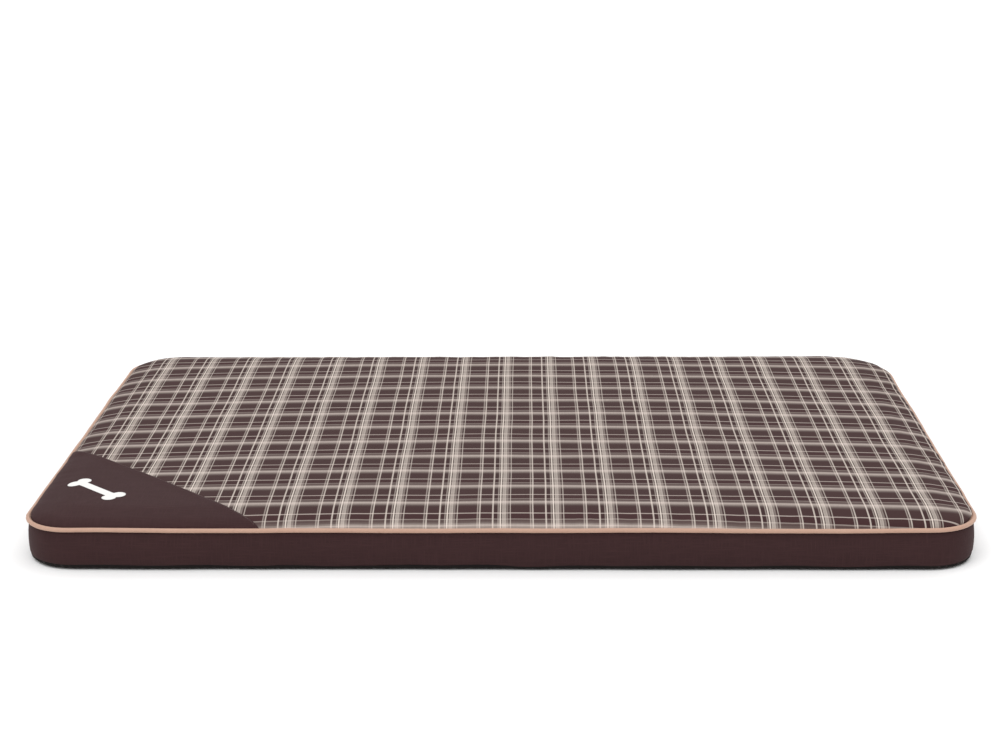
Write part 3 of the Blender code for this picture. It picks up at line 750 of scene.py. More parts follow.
def side_gathers(point, sizes):
    """Depth of the puckers of the side band below the piping and above the base."""
    foot = nearest_edge(point.x, point.y)[1]
    high = math.exp(-((point.z - BAND_TOP) / 0.006) ** 2)
    low = math.exp(-((point.z - BAND_FOOT) / 0.005) ** 2)
    ridge = noise.noise(foot * 60.0 + Vector((0.0, 0.0, 1.0)))
    ridge += 0.5 * noise.noise(foot * 130.0 + Vector((0.0, 0.0, 2.0)))
    wave = noise.noise(Vector((foot.x * 9.0, foot.y * 9.0, point.z * 22.0)))
    return sizes.pucker * (0.42 * ridge * (high + 0.8 * low) + 0.55 * wave)


def displaced(obj, depth, sizes):
    """Move every point of a piece along its normal and then with the bed's sway."""
    normals = [vertex.normal.copy() for vertex in obj.data.vertices]
    for vertex, normal in zip(obj.data.vertices, normals):
        vertex.co += normal * depth(vertex.co, sizes)
    for vertex in obj.data.vertices:
        vertex.co += sway(vertex.co, sizes.stray)
    obj.data.update()


MIDDLE_PIN = 0.10           # how firmly the middle of the top is held while the cover settles
EDGE_PIN = 0.50             # how much more firmly the top is held near the piping
SIDE_PIN = 0.06             # how firmly the side is held
SIDE_EASE = 0.35            # share of the extra cloth that goes into the side
LEAN_OUT = (0.0040, 0.0022)  # how far the top and its tucked edge lean out over the piping


def cover_rings(sizes):
    """The rings of the closed cover from the plain top to the plain base."""
    rings = [(inset, top_height(inset, sizes)) for inset in TOP_INSETS]
    rings += list(TOP_TUCK)
    top_seam = len(rings) - 1
    rings += list(SIDE_RINGS)
    base_seam = len(rings)
    rings.append(BASE_SEAM)
    rings += list(BASE_RINGS)
    return rings, top_seam, base_seam


def cover_form(sizes):
    """The closed cover after stuffing: its points, ring count, and counts of the grid."""
    if "cover" in SHAPES:
        return SHAPES["cover"]
    around, across, deep = columns(sizes.cell)
    count = len(around)
    rings, top_seam, base_seam = cover_rings(sizes)
    points = []
    pins = []
    ease = []
    for index, (inset, height) in enumerate(rings):
        if index < top_seam:
            lean_out = LEAN_OUT[0] if index < len(TOP_INSETS) else LEAN_OUT[1]
            points += [overhung(inset, height, column, lean_out, sizes) for column in around]
        else:
            points += ring_points(around, inset, height)
        near_edge = smooth(0.050 - inset, 0.0, 0.030)
        pin = MIDDLE_PIN + EDGE_PIN * near_edge if index < top_seam else SIDE_PIN
        if index in (top_seam, base_seam) or index > base_seam + 2:
            pin = 1.0
        pins += [pin] * count
        loose = near_edge if index <= top_seam else SIDE_EASE
        ease += [loose if pin < 1.0 else 0.0] * count
    faces = []
    join_rows(faces, len(rings), count)
    top_start = len(points)
    add_middle(points, faces, 0, across, deep, crown(sizes), True)
    base_start = len(points)
    pins += [MIDDLE_PIN] * (base_start - top_start)
    add_middle(points, faces, (len(rings) - 1) * count, across, deep, level(BASE_Z), False)
    pins += [1.0] * (len(points) - base_start)
    ease += [0.0] * (len(points) - top_start)
    flat = [point.copy() for point in points]
    points = settle(points, faces, pins, ease, sizes)
    SHAPES["cover"] = {
        "points": points, "flat": flat, "rings": rings, "count": count, "across": across, "deep": deep,
        "top_seam": top_seam, "base_seam": base_seam, "top_start": top_start, "base_start": base_start}
    return SHAPES["cover"]


def cut_out(cover, first, last, middle):
    """The points, flat points and faces of rings first to last and an optional middle."""
    count = cover["count"]
    points = cover["points"][first * count:(last + 1) * count]
    flat = cover["flat"][first * count:(last + 1) * count]
    faces = []
    join_rows(faces, last - first + 1, count)
    if middle is not None:
        start, end, ring = middle
        shift = len(points) - start
        points += cover["points"][start:end]
        flat += cover["flat"][start:end]
        grid_points = [None] * start
        grid_faces = []
        add_middle(grid_points, grid_faces, (ring - first) * count - shift, cover["across"], cover["deep"],
                   level(0.0), ring == 0)
        faces += [[number + shift for number in face] for face in grid_faces]
    return points, flat, faces


def edge_lengths(rings, start):
    """Length along the cloth from one ring to each of the others."""
    lengths = {start: 0.0}
    for step in (1, -1):
        total = 0.0
        index = start
        while 0 <= index + step < len(rings):
            here = rings[index]
            there = rings[index + step]
            total += math.hypot(here[0] - there[0], here[1] - there[1])
            index += step
            lengths[index] = total * step
    return lengths


def top_cut(cover):
    """Cut coordinates of the top cloth: its plan, opened out over the shoulder."""
    rings = cover["rings"]
    lengths = edge_lengths(rings, 0)
    count = cover["count"]
    places = []
    for index in range(cover["top_seam"] + 1):
        extra = lengths[index] - (rings[0][0] - rings[index][0])
        for column in range(count):
            point = cover["flat"][index * count + column]
            outward = nearest_edge(point.x, point.y)[2]
            places.append((point.x + outward.x * extra, point.y + outward.y * extra))
    return places


# ---- pieces ----

class BED_OT_top_cover(bpy.types.Operator):
    """Make the plaid top, stuffed and gathered into the piping."""

    bl_idname = "bed.top_cover"
    bl_label = "Plaid top"

    def execute(self, context):
        sizes = context.scene.bed_sizes
        cover = cover_form(sizes)
        middle = (cover["top_start"], cover["base_start"], 0)
        points, flat, faces = cut_out(cover, 0, cover["top_seam"], middle)
        cut = top_cut(cover)
        cut += [(point.x, point.y) for point in flat[len(cut):]]
        material = plaid_finish(context.scene.plaid_sizes, context.scene.bed_colours)
        top = mesh_object("top_cover", points, faces, material, cut)
        smooth_once(top)
        displaced(top, gathers, sizes)
        SHAPES["top"] = top.data.copy()
        thicken(top, sizes.cloth)
        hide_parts("top_panel")
        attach(top, "mattress")
        return {"FINISHED"}


class BED_OT_side_cover(bpy.types.Operator):
    """Make the plain side band round the front, the sides and the back corners."""

    bl_idname = "bed.side_cover"
    bl_label = "Side band"

    def execute(self, context):
        sizes = context.scene.bed_sizes
        cover = cover_form(sizes)
        points, flat, faces = cut_out(cover, cover["top_seam"], cover["base_seam"], None)
        lengths = edge_lengths(cover["rings"], cover["top_seam"])
        count = cover["count"]
        travel = [0.0]
        for column in range(count):
            here = flat[column]
            there = flat[(column + 1) % count]
            travel.append(travel[-1] + (there - here).length)
        cut = []
        for index in range(cover["top_seam"], cover["base_seam"] + 1):
            cut += [(travel[column], -lengths[index]) for column in range(count)]
        material = plain_cloth_finish("brown_cloth_surface", context.scene.bed_colours.brown)
        SHAPES["brown"] = material
        band = mesh_object("side_cover", points, faces, material, cut)
        smooth_once(band)
        displaced(band, side_gathers, sizes)
        with editing(band.data) as work:
            for end in (-BAND_END, BAND_END):
                back = [face for face in work.faces if face.calc_center_median().y > BACK_Y]
                geometry = list({vertex for face in back for vertex in face.verts})
                geometry += list({edge for face in back for edge in face.edges}) + back
                bmesh.ops.bisect_plane(work, geom=geometry, plane_co=(end, 0, 0), plane_no=(1, 0, 0))
            gone = [face for face in work.faces if face.calc_center_median().y > BACK_Y
                    and abs(face.calc_center_median().x) < BAND_END]
            bmesh.ops.delete(work, geom=gone, context="FACES")
            for end in (-BAND_END, BAND_END):
                folded_end(work, end)
            bmesh.ops.recalc_face_normals(work, faces=work.faces)
        SHAPES["band"] = band.data.copy()
        thicken(band, sizes.cloth)
        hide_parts("boxing_band")
        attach(band, "mattress")
        return {"FINISHED"}


class BED_OT_base_cover(bpy.types.Operator):
    """Make the dark base cloth, turned up into its seam with the side band."""

    bl_idname = "bed.base_cover"
    bl_label = "Base cloth"

    def execute(self, context):
        sizes = context.scene.bed_sizes
        cover = cover_form(sizes)
        last = len(cover["rings"]) - 1
        middle = (cover["base_start"], len(cover["points"]), last)
        points, flat, faces = cut_out(cover, cover["base_seam"], last, middle)
        cut = [(point.x, point.y) for point in flat]
        material = base_finish(context.scene.bed_colours.base)
        base = mesh_object("base_cover", points, faces, material, cut)
        smooth_once(base)
        displaced(base, lambda point, sizes: 0.0, sizes)
        for vertex in base.data.vertices:
            vertex.co.z = max(vertex.co.z, 0.0001)
        thicken(base, 0.001)
        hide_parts("base_panel")
        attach(base, "mattress")
        return {"FINISHED"}


class BED_OT_corner_cover(bpy.types.Operator):
    """Make the plain corner laid over the plaid, with a folded edge."""

    bl_idname = "bed.corner_cover"
    bl_label = "Corner patch"

    def execute(self, context):
        colours = context.scene.bed_colours
        mesh = SHAPES["top"].copy()
        mesh.name = "corner_cover"
        with editing(mesh) as work:
            bmesh.ops.bisect_plane(work, geom=work.verts[:] + work.edges[:] + work.faces[:],
                                   plane_co=(PATCH_REACH / 2, PATCH_REACH / 2, 0), plane_no=(1, 1, 0),
                                   clear_outer=True)
            work.normal_update()
            lift = {}
            for vertex in work.verts:
                from_edge = (PATCH_REACH - vertex.co.x - vertex.co.y) * DIAGONAL
                fold = 1.0 - smooth(from_edge, 0.006, 0.010)
                roll = 1.0 - smooth(from_edge, 0.0, 0.0012)
                lift[vertex] = vertex.normal * (0.0010 + 0.0006 * fold - 0.0007 * roll)
            for vertex, move in lift.items():
                vertex.co += move
        # The corner is the side band's cloth made 4% lighter: painted light from above, not a different
        # cloth.
        material = plain_cloth_finish("corner_cloth_painted_light_surface", shade(colours.brown, 1.04))
        mesh.materials.clear()
        mesh.materials.append(material)
        mesh.shade_smooth()
        patch = bpy.data.objects.new("corner_cover", mesh)
        context.scene.collection.objects.link(patch)
        SHAPES["patch"] = mesh.copy()
        thicken(patch, 0.0007)
        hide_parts("corner_patch")
        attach(patch, "mattress")
        return {"FINISHED"}


BONE_LENGTH = 0.098
BONE_LOBE = 0.0092          # radius of a lobe
BONE_OFFSET = 0.0074        # from the middle line to a lobe's centre
BONE_SHAFT = 0.0062         # half the width of the shaft
BONE_SHIFT = Vector((0.010, -0.020))  # from the middle of the CAD emblem


def bone_half(x):
    """Lowest and highest y of the upper half of a bone at x."""
    reach = abs(x) - (BONE_LENGTH / 2 - BONE_LOBE)
    if abs(reach) > BONE_LOBE:
        return 0.0, BONE_SHAFT
    rise = math.sqrt(max(BONE_LOBE * BONE_LOBE - reach * reach, 0.0))
    high = BONE_OFFSET + rise
    if reach < 0:
        return 0.0, max(BONE_SHAFT, high)
    return max(0.0, BONE_OFFSET - rise), high


class BED_OT_bone_print(bpy.types.Operator):
    """Print a plain bone on the corner patch."""

    bl_idname = "bed.bone_print"
    bl_label = "Bone print"

    def execute(self, context):
        low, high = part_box("corner_emblem")
        middle = Vector(((low[0] + high[0]) / 2, (low[1] + high[1]) / 2)) + BONE_SHIFT
        surface = surface_of(SHAPES["patch"])
        stations = 84
        levels = 6
        points = []
        faces = []
        cut = []
        for half in (1, -1):
            first = len(points)
            for station in range(stations + 1):
                x = -BONE_LENGTH / 2 * math.cos(math.pi * station / stations)
                bottom, top = bone_half(x)
                for step in range(levels + 1):
                    y = half * (bottom + (top - bottom) * step / levels)
                    place = Vector((middle.x + (x + y) * DIAGONAL, middle.y + (y - x) * DIAGONAL, 0.2))
                    points.append(surface.ray_cast(place, DOWN)[0] + Vector((0, 0, 0.00012)))
                    cut.append((x, y))
            skin = []
            join_rows(skin, stations + 1, levels + 1, first, False)
            faces += [face[::half] for face in skin]
        material = print_finish(context.scene.bed_colours.emblem)
        bone = mesh_object("bone_print", points, faces, material, cut)
        with editing(bone.data) as work:
            bmesh.ops.remove_doubles(work, verts=work.verts, dist=0.00002)
        thicken(bone, 0.0003, 1.0)
        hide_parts("corner_emblem")
        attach(bone, "mattress")
        return {"FINISHED"}


def piping_line(sizes):
    """The line of the cord round the bed: places, ways out of the bed, and length so far."""
    line = []
    travel = 0.0
    for column in columns(sizes.cell / 2)[0]:
        spine = Vector((*plan_point(*column, WRAP_RADIUS), SEAM_Z))
        if line:
            travel += (spine - line[-1][0]).length
        line.append((spine, nearest_edge(spine.x, spine.y)[2], travel))
    return line


PIPING_FLANGE = ((0.0125, 0.00035), (0.0085, 0.00035))  # inset and height of the strip's flat edge


class BED_OT_piping(bpy.types.Operator):
    """Make the cloth-covered piping round the top edge."""

    bl_idname = "bed.piping"
    bl_label = "Piping"

    def execute(self, context):
        sizes = context.scene.bed_sizes
        steps = 16
        start = math.radians(16)
        points = []
        cut = []
        around = piping_line(sizes)
        for spine, outward, travel in around:
            swell = 1.0 + 0.035 * noise.noise(spine * 55.0) + 0.02 * noise.noise(spine * 160.0)
            radius = WRAP_RADIUS * swell
            line = [(WRAP_RADIUS - inset, height) for inset, height in PIPING_FLANGE]
            for step in range(steps + 1):
                angle = start + (2 * math.pi - 2 * start) * step / steps
                line.append((-radius * math.cos(angle), radius * math.sin(angle)))
            line += [(WRAP_RADIUS - inset, -height) for inset, height in reversed(PIPING_FLANGE)]
            length = 0.0
            before = line[0]
            for out, up in line:
                length += math.hypot(out - before[0], up - before[1])
                before = (out, up)
                points.append(spine + outward * out + Vector((0, 0, up)) + sway(spine, sizes.stray))
                cut.append((travel, length))
        row = len(line)
        faces = []
        for column in range(len(around)):
            after = (column + 1) % len(around)
            for step in range(row - 1):
                faces.append([column * row + step, column * row + step + 1,
                              after * row + step + 1, after * row + step])
        material = piping_finish(context.scene.bed_colours.piping)
        wrap = mesh_object("piping", points, faces, material, cut)
        thicken(wrap, 0.0003)
        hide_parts("piping_wrap")
        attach(wrap, "mattress")
        return {"FINISHED"}


def folded_end(work, end):
    """Turn the cut end of the side band under, towards the inside of the bed."""
    sign = 1 if end > 0 else -1
    rim = [edge for edge in work.edges if edge.is_boundary and edge.verts[0].co.y > BACK_Y
           and all(abs(vertex.co.x - end) < 0.0001 for vertex in edge.verts)]
    for across, inward in ((-0.0003, 0.0006), (0.0001, 0.0008), (0.0009, 0.0005), (0.0090, 0.0)):
        made = bmesh.ops.extrude_edge_only(work, edges=rim)["geom"]
        rim = [item for item in made if isinstance(item, bmesh.types.BMEdge)]
        for vertex in {vertex for edge in rim for vertex in edge.verts}:
            vertex.co.x += sign * across
            vertex.co.y -= inward


def strip_points(line, bulge, count, half):
    """A line of (inset, height) run along the back, with a gentle bulge."""
    points = []
    cut = []
    for step in range(count + 1):
        x = half - 2 * half * step / count
        length = 0.0
        before = line[0]
        for index, (inset, height) in enumerate(line):
            length += math.hypot(inset - before[0], height - before[1])
            before = (inset, height)
            soft = bulge[index] * noise.noise(Vector((x * 14.0, height * 20.0, 3.0)))
            soft *= smooth(half - abs(x), 0.012, 0.05)
            points.append(Vector((x, HALF_Y - inset + soft, height)))
            cut.append((x, length))
    faces = []
    join_rows(faces, count + 1, len(line), closed=False)
    return points, cut, faces


UPPER_STRIP = ((0.0115, 0.0500), (0.0056, 0.0497), (0.0040, 0.0488), (0.0034, 0.0470), (0.0031, 0.0440),
               (0.0031, 0.0410), (0.0033, 0.0380), (0.0036, 0.0358), (0.0038, 0.0348), (0.0041, 0.0343),
               (0.0046, 0.0344), (0.0049, 0.0350), (0.0050, 0.0370), (0.0051, 0.0400))
LOWER_STRIP = ((0.0115, 0.0084), (0.0056, 0.0083), (0.0042, 0.0089), (0.0036, 0.0105), (0.0032, 0.0130),
               (0.0031, 0.0160), (0.0033, 0.0190), (0.0036, 0.0222), (0.0038, 0.0235), (0.0041, 0.0241),
               (0.0046, 0.0240), (0.0049, 0.0234), (0.0050, 0.0214), (0.0051, 0.0184))
STRIP_BULGE = (0.0, 0.0, 0.0003, 0.0006, 0.0010, 0.0011, 0.0009, 0.0004, 0.0002, 0.0, 0.0, 0.0, 0.0, 0.0)


class BED_OT_rear_strips(bpy.types.Operator):
    """Make the two strips of side cloth above and below the zip."""

    bl_idname = "bed.rear_strips"
    bl_label = "Strips beside the zip"

    def execute(self, context):
        for name, node, line, rests in (("rear_strip_top", "rear_strip_upper", UPPER_STRIP, "zip_tape_top"),
                                        ("rear_strip_low", "rear_strip_lower", LOWER_STRIP, "zip_tape_low")):
            points, cut, faces = strip_points(line, STRIP_BULGE, 190, ZIP_END)
            if node == "rear_strip_lower":
                faces = [face[::-1] for face in faces]
            strip = mesh_object(name, points, faces, SHAPES["brown"], cut)
            smooth_once(strip)
            SHAPES[name] = strip.data.copy()
            thicken(strip, 0.0006)
            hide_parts(node)
            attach(strip, "mattress")
        return {"FINISHED"}


def tape_finish(base):
    """Woven zip tape: fine ribs along it and a denser edge."""
    finish = Finish("zip_tape_surface", 0.75, sheen=0.05, specular=0.2)
    along, across = finish.coordinates()
    ribs = finish.math("SINE", across * (2 * math.pi / 0.0016))
    picks = finish.noise(finish.combine(along * 900.0, across * 120.0), 1.0, 1.0)
    height = 0.5 + 0.3 * ribs + 0.4 * picks
    return finish.two_tone(height, shade(base, 0.65), shade(base, 1.35), 0.4, 0.0003)


class BED_OT_zip_tapes(bpy.types.Operator):
    """Make the two woven tapes of the zip."""

    bl_idname = "bed.zip_tapes"
    bl_label = "Zip tapes"

    def execute(self, context):
        material = tape_finish(shade(context.scene.bed_colours.brown, 0.8))
        count = 240
        for name, node, side in (("zip_tape_top", "zip_tape_upper", 1),
                                 ("zip_tape_low", "zip_tape_lower", -1)):
            ends = [abs(corner[2] - ZIP_Z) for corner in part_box(node)]
            near = ZIP_Z + side * min(ends)
            far = ZIP_Z + side * max(ends)
            wide = abs(far - near)
            stops = (0.0, 0.03, 0.10, 0.18, 0.24, 0.30, 0.50, 0.75, 0.94, 0.97, 1.0)
            thick = (0.22, 0.30, 0.30, 0.30, 0.24, 0.20, 0.20, 0.20, 0.20, 0.28, 0.20)
            section = [(near + side * wide * part, half * 0.001) for part, half in zip(stops, thick)]
            loop = section + [(height, -half) for height, half in reversed(section)]
            row = len(loop)
            points = []
            cut = []
            for step in range(count + 1):
                x = ZIP_END - 2 * ZIP_END * step / count
                for height, half in loop:
                    away = abs(height - near) / wide
                    ripple = 0.0002 * away * noise.noise(Vector((x * 30.0, 0.0, side)))
                    points.append(Vector((x, TAPE_Y + half + ripple, height)))
                    cut.append((x, height))
            faces = []
            join_rows(faces, count + 1, row)
            faces.append(list(range(row)))
            faces.append(list(range(count * row, (count + 1) * row)))
            tape = mesh_object(name, points, faces, material, cut)
            outward_faces(tape)
            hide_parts(node)
            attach(tape, "mattress")
        return {"FINISHED"}


def tube(points, faces, spine, radii, sides):
    """Add a round tube along a line of points, closed at its ends."""
    first = len(points)
    last = len(spine) - 1
    for index, centre in enumerate(spine):
        along = (spine[min(index + 1, last)] - spine[max(index - 1, 0)]).normalized()
        aside = along.cross(Vector((0, 0, 1)))
        if aside.length < 0.2:
            aside = along.cross(Vector((0, 1, 0)))
        aside.normalize()
        up = aside.cross(along)
        for side in range(sides):
            angle = 2 * math.pi * side / sides
            points.append(centre + (aside * math.cos(angle) + up * math.sin(angle)) * radii[index])
    join_rows(faces, len(spine), sides, first)
    faces.append(list(range(first, first + sides)))
    faces.append(list(range(first + last * sides, first + (last + 1) * sides))[::-1])


class BED_OT_zip_coils(bpy.types.Operator):
    """Make the two nylon coils of the zip, whose teeth mesh along the middle."""

    bl_idname = "bed.zip_coils"
    bl_label = "Zip coils"

    def execute(self, context):
        finish = Finish("zip_coil_surface", 0.42, specular=0.5)
        grain = finish.noise(finish.place(), 260.0, 2.0)
        base = shade(context.scene.bed_colours.brown, 0.75)
        finish.set("Base Color", finish.mix(grain, shade(base, 0.75), shade(base, 1.3)))
        finish.set("Roughness", 0.36 + 0.14 * grain)
        pitch = 0.0016
        steps = 9
        wire = 0.00032
        turns = int((2 * ZIP_END - 0.004) / pitch)
        for name, node, side in (("zip_coil_top", "zip_coil_upper", 1),
                                 ("zip_coil_low", "zip_coil_lower", -1)):
            low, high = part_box(node)
            middle_y = (low[1] + high[1]) / 2
            half_y = (high[1] - low[1]) / 2 - wire
            reach = max(abs(low[2] - ZIP_Z), abs(high[2] - ZIP_Z)) - wire
            head = 0.00036 + wire
            middle_z = ZIP_Z + side * (reach + head) / 2
            half_z = (reach - head) / 2
            start = -ZIP_END + 0.002 + (pitch / 2 if side < 0 else 0.0)
            spine = []
            radii = []
            for step in range(turns * steps):
                angle = 2 * math.pi * step / steps
                x = start + pitch * (step / steps + 0.18 * math.sin(2 * angle) / math.pi)
                y = middle_y + half_y * math.sin(angle)
                z = middle_z - side * half_z * math.cos(angle)
                spine.append(Vector((x, y, z)))
                radii.append(wire * (1.0 + 0.18 * max(0.0, math.cos(angle)) ** 4))
            points = []
            faces = []
            tube(points, faces, spine, radii, 6)
            coil = mesh_object(name, points, faces, finish.material)
            outward_faces(coil)
            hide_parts(node)
            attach(coil, "mattress")
        return {"FINISHED"}


def metal_finish(name):
    """Dark plated metal, brighter and smoother where hands and cloth rub it."""
    finish = Finish(name, 0.35, metallic=0.9, specular=0.5)
    place = finish.place()
    cloudy = finish.noise(place, 420.0, 3.0)
    scratch = finish.noise(place, 1500.0, 1.0)
    worn = finish.ramp(cloudy, ((0.0, 0.0), (0.48, 0.1), (0.66, 1.0)))
    finish.set("Base Color", finish.mix(worn, (0.10, 0.085, 0.078), (0.34, 0.30, 0.27)))
    finish.set("Roughness", 0.44 - 0.16 * worn + 0.08 * scratch)
    finish.bump(scratch, 0.12, 0.0002)
    return finish.material


def plate(points, faces, outline, low, high):
    """Add a flat plate: an outline of (x, z) between two levels of Y."""
    first = len(points)
    count = len(outline)
    for level in (low, high):
        points += [Vector((x, level, z)) for x, z in outline]
    faces.append(list(range(first, first + count)))
    faces.append(list(range(first + count, first + 2 * count))[::-1])
    bridge(faces, first, first + count, count)


def hoop(points, faces, loops):
    """Add a closed hoop through loops of (x, z), each with its level of Y."""
    first = len(points)
    count = len(loops[0][0])
    for loop, height in loops:
        points += [Vector((x, height, z)) for x, z in loop]
    join_rows(faces, len(loops), count, first)
    bridge(faces, first + count * (len(loops) - 1), first, count)


def rounded(x, half_x, half_z, power, count):
    """A rounded outline of (x, z) on the zip's line: an ellipse at power 1, squarer below it."""
    loop = []
    for step in range(count):
        angle = 2 * math.pi * step / count
        cosine = math.cos(angle)
        sine = math.sin(angle)
        loop.append((x + half_x * math.copysign(abs(cosine) ** power, cosine),
                     ZIP_Z + half_z * math.copysign(abs(sine) ** power, sine)))
    return loop


def soften_edges(obj, width):
    """Round the sharp edges of a hard piece and keep the result."""
    outward_faces(obj)
    modifier = obj.modifiers.new("Edges", "BEVEL")
    modifier.width = width
    modifier.segments = 3
    modifier.limit_method = "ANGLE"
    modifier.angle_limit = math.radians(35)
    apply_modifiers(obj)
    obj.data.shade_smooth()


class BED_OT_zip_slider(bpy.types.Operator):
    """Make the zip's slider: two waisted plates, side walls, a blade and a bail."""

    bl_idname = "bed.zip_slider"
    bl_label = "Zip slider"

    def execute(self, context):
        low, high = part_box("zip_slider")
        coil_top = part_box("zip_coil_upper")[1][1]
        middle = (low[0] + high[0]) / 2
        half = (high[0] - low[0]) / 2
        wide = (high[2] - low[2]) / 2
        thick = 0.0010
        plate_low = coil_top + 0.0004
        plate_high = plate_low + thick
        waist = []
        for x, z in ((1.0, 0.62), (0.94, 0.86), (0.72, 1.0), (0.25, 1.0), (-0.30, 0.92), (-0.80, 0.86),
                     (-0.95, 0.74), (-1.0, 0.52)):
            waist.append((middle + half * x, wide * z))
        outline = [(x, ZIP_Z + z) for x, z in waist] + [(x, ZIP_Z - z) for x, z in reversed(waist)]
        points = []
        faces = []
        plate(points, faces, outline, plate_low, plate_high)
        plate(points, faces, outline, low[1], low[1] + thick)
        wall_low = TAPE_Y + 0.00078     # just clear of the tapes
        for side in (1, -1):
            wall = [(middle + half * x, ZIP_Z + side * wide * z) for x, z in (
                (0.80, 0.97), (0.25, 0.99), (-0.30, 0.91), (-0.84, 0.84), (-0.84, 0.71), (-0.30, 0.78),
                (0.25, 0.86), (0.80, 0.84))]
            plate(points, faces, wall, wall_low, plate_low + 0.0002)
        blade = [(middle + half * x, ZIP_Z + z) for x, z in (
            (0.85, 0.00028), (0.2, 0.00022), (0.2, -0.00022), (0.85, -0.00028))]
        plate(points, faces, blade, low[1] + 0.0005, plate_low + 0.0003)
        foot = plate_high - 0.0004
        span = 0.00205
        arch = []
        for step in range(15):
            angle = math.pi * step / 14
            rise = (high[1] - 0.0004 - foot) * math.sin(angle) ** 0.55
            arch.append(Vector((middle - span * math.cos(angle), foot + rise, ZIP_Z)))
        tube(points, faces, arch, [0.00042] * len(arch), 10)
        rib = rounded(middle, half * 0.92, wide * 0.80, 1.0, 28)
        inner = [(middle + (x - middle) * 0.86, ZIP_Z + (z - ZIP_Z) * 0.82) for x, z in rib]
        rib_low = plate_high - 0.0002
        rib_high = plate_high + 0.00012
        hoop(points, faces, ((rib, rib_low), (rib, rib_high), (inner, rib_high), (inner, rib_low)))
        slider = mesh_object("zip_slider_body", points, faces, metal_finish("slider_metal"))
        soften_edges(slider, 0.00014)
        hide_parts("zip_slider")
        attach(slider, "zip_slider")
        return {"FINISHED"}


class BED_OT_pull_tab(bpy.types.Operator):
    """Make the pull tab, with its eye round the bail and a raised rim."""

    bl_idname = "bed.pull_tab"
    bl_label = "Pull tab"

    def execute(self, context):
        low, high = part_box("zip_pull_tab")
        near = high[0]
        far = low[0]
        count = 64
        eye_x = near - 0.00285
        hole = rounded(eye_x, 0.00185, 0.00120, 0.55, count)
        panel = rounded(far + 0.0072, 0.0056, 0.00165, 0.7, count)
        panel_inner = rounded(far + 0.0072, 0.0052, 0.00125, 0.7, count)
        outer = [tab_rim(eye_x, 2 * math.pi * step / count, near, far) for step in range(count)]
        points = []
        faces = []
        hoop(points, faces, ((outer, low[1]), (outer, high[1]), (hole, high[1]), (hole, low[1])))
        for face, sign in ((high[1], 1), (low[1], -1)):
            root = face - sign * 0.0001
            ridge = face + sign * 0.00012
            hoop(points, faces, ((panel, root), (panel, ridge), (panel_inner, ridge), (panel_inner, root)))
        tab = mesh_object("zip_pull", points, faces, metal_finish("tab_metal"))
        soften_edges(tab, 0.00016)
        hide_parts("zip_pull_tab")
        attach(tab, "zip_pull_tab")
        return {"FINISHED"}


def tab_half_width(x, near, far):
    """Half the width of the pull tab at a place along it."""
    from_eye = near - x
    from_tip = x - far
    width = 0.00215 - 0.00035 * smooth(from_eye, 0.0035, 0.0065) + 0.00080 * smooth(from_eye, 0.007, 0.015)
    if from_tip < 0.0026:
        width = min(width, math.sqrt(max(0.0026 ** 2 - (0.0026 - from_tip) ** 2, 0.0)))
    if from_eye < 0.0012:
        width = min(width, 0.00095 + math.sqrt(max(0.0012 ** 2 - (0.0012 - from_eye) ** 2, 0.0)))
    return width


def tab_rim(eye_x, angle, near, far):
    """The point of the tab's outline in a direction from its eye."""
    cosine = math.cos(angle)
    sine = math.sin(angle)
    reach = 0.0
    step = 0.00004
    while True:
        x = eye_x + cosine * (reach + step)
        if not far < x < near or abs(sine * (reach + step)) > tab_half_width(x, near, far):
            return eye_x + cosine * reach, ZIP_Z + sine * reach
        reach += step


def surface_of(*meshes):
    """A tree of the faces of some meshes, for laying things on them."""
    points = []
    faces = []
    for mesh in meshes:
        shift = len(points)
        points += [vertex.co for vertex in mesh.vertices]
        faces += [[shift + number for number in face.vertices] for face in mesh.polygons]
    return BVHTree.FromPolygons(points, faces)


# Along one stitch: part of its length, height over the cloth and thickness, both in thread radii.
STITCH_FORM = ((0.0, -0.9, 0.5), (0.10, 0.1, 0.85), (0.32, 0.75, 1.0), (0.68, 0.75, 1.0), (0.90, 0.1, 0.85),
               (1.0, -0.9, 0.5))


def stitch_track(points, faces, track, surface, ray, sizes):
    """Sew one row of stitches along a straight track, laid on a surface."""
    start, end = track
    length = (end - start).length
    repeat = sizes.length + sizes.gap
    along = (end - start) / length
    radii = [sizes.radius * thickness for part, height, thickness in STITCH_FORM]
    for number in range(int(length / repeat)):
        first = start + along * (number * repeat + sizes.gap / 2)
        slip = noise.noise(first * 320.0)
        side = along.cross(ray) * (0.00012 * slip)
        spine = []
        for part, height, thickness in STITCH_FORM:
            place = first + along * (sizes.length * part) + side - ray * 0.05
            hit = surface.ray_cast(place, ray)[0]
            if hit is not None:
                spine.append(hit - ray * (sizes.radius * height))
        if len(spine) == len(STITCH_FORM):
            tube(points, faces, spine, radii, 6)


def thread_finish(base):
    """Twisted sewing thread."""
    finish = Finish("thread_surface", 0.55, sheen=0.05, specular=0.35)
    ply = finish.noise(finish.place(), 1300.0, 1.0)
    return finish.two_tone(ply, shade(base, 0.65), shade(base, 1.5), 0.3, 0.0002)


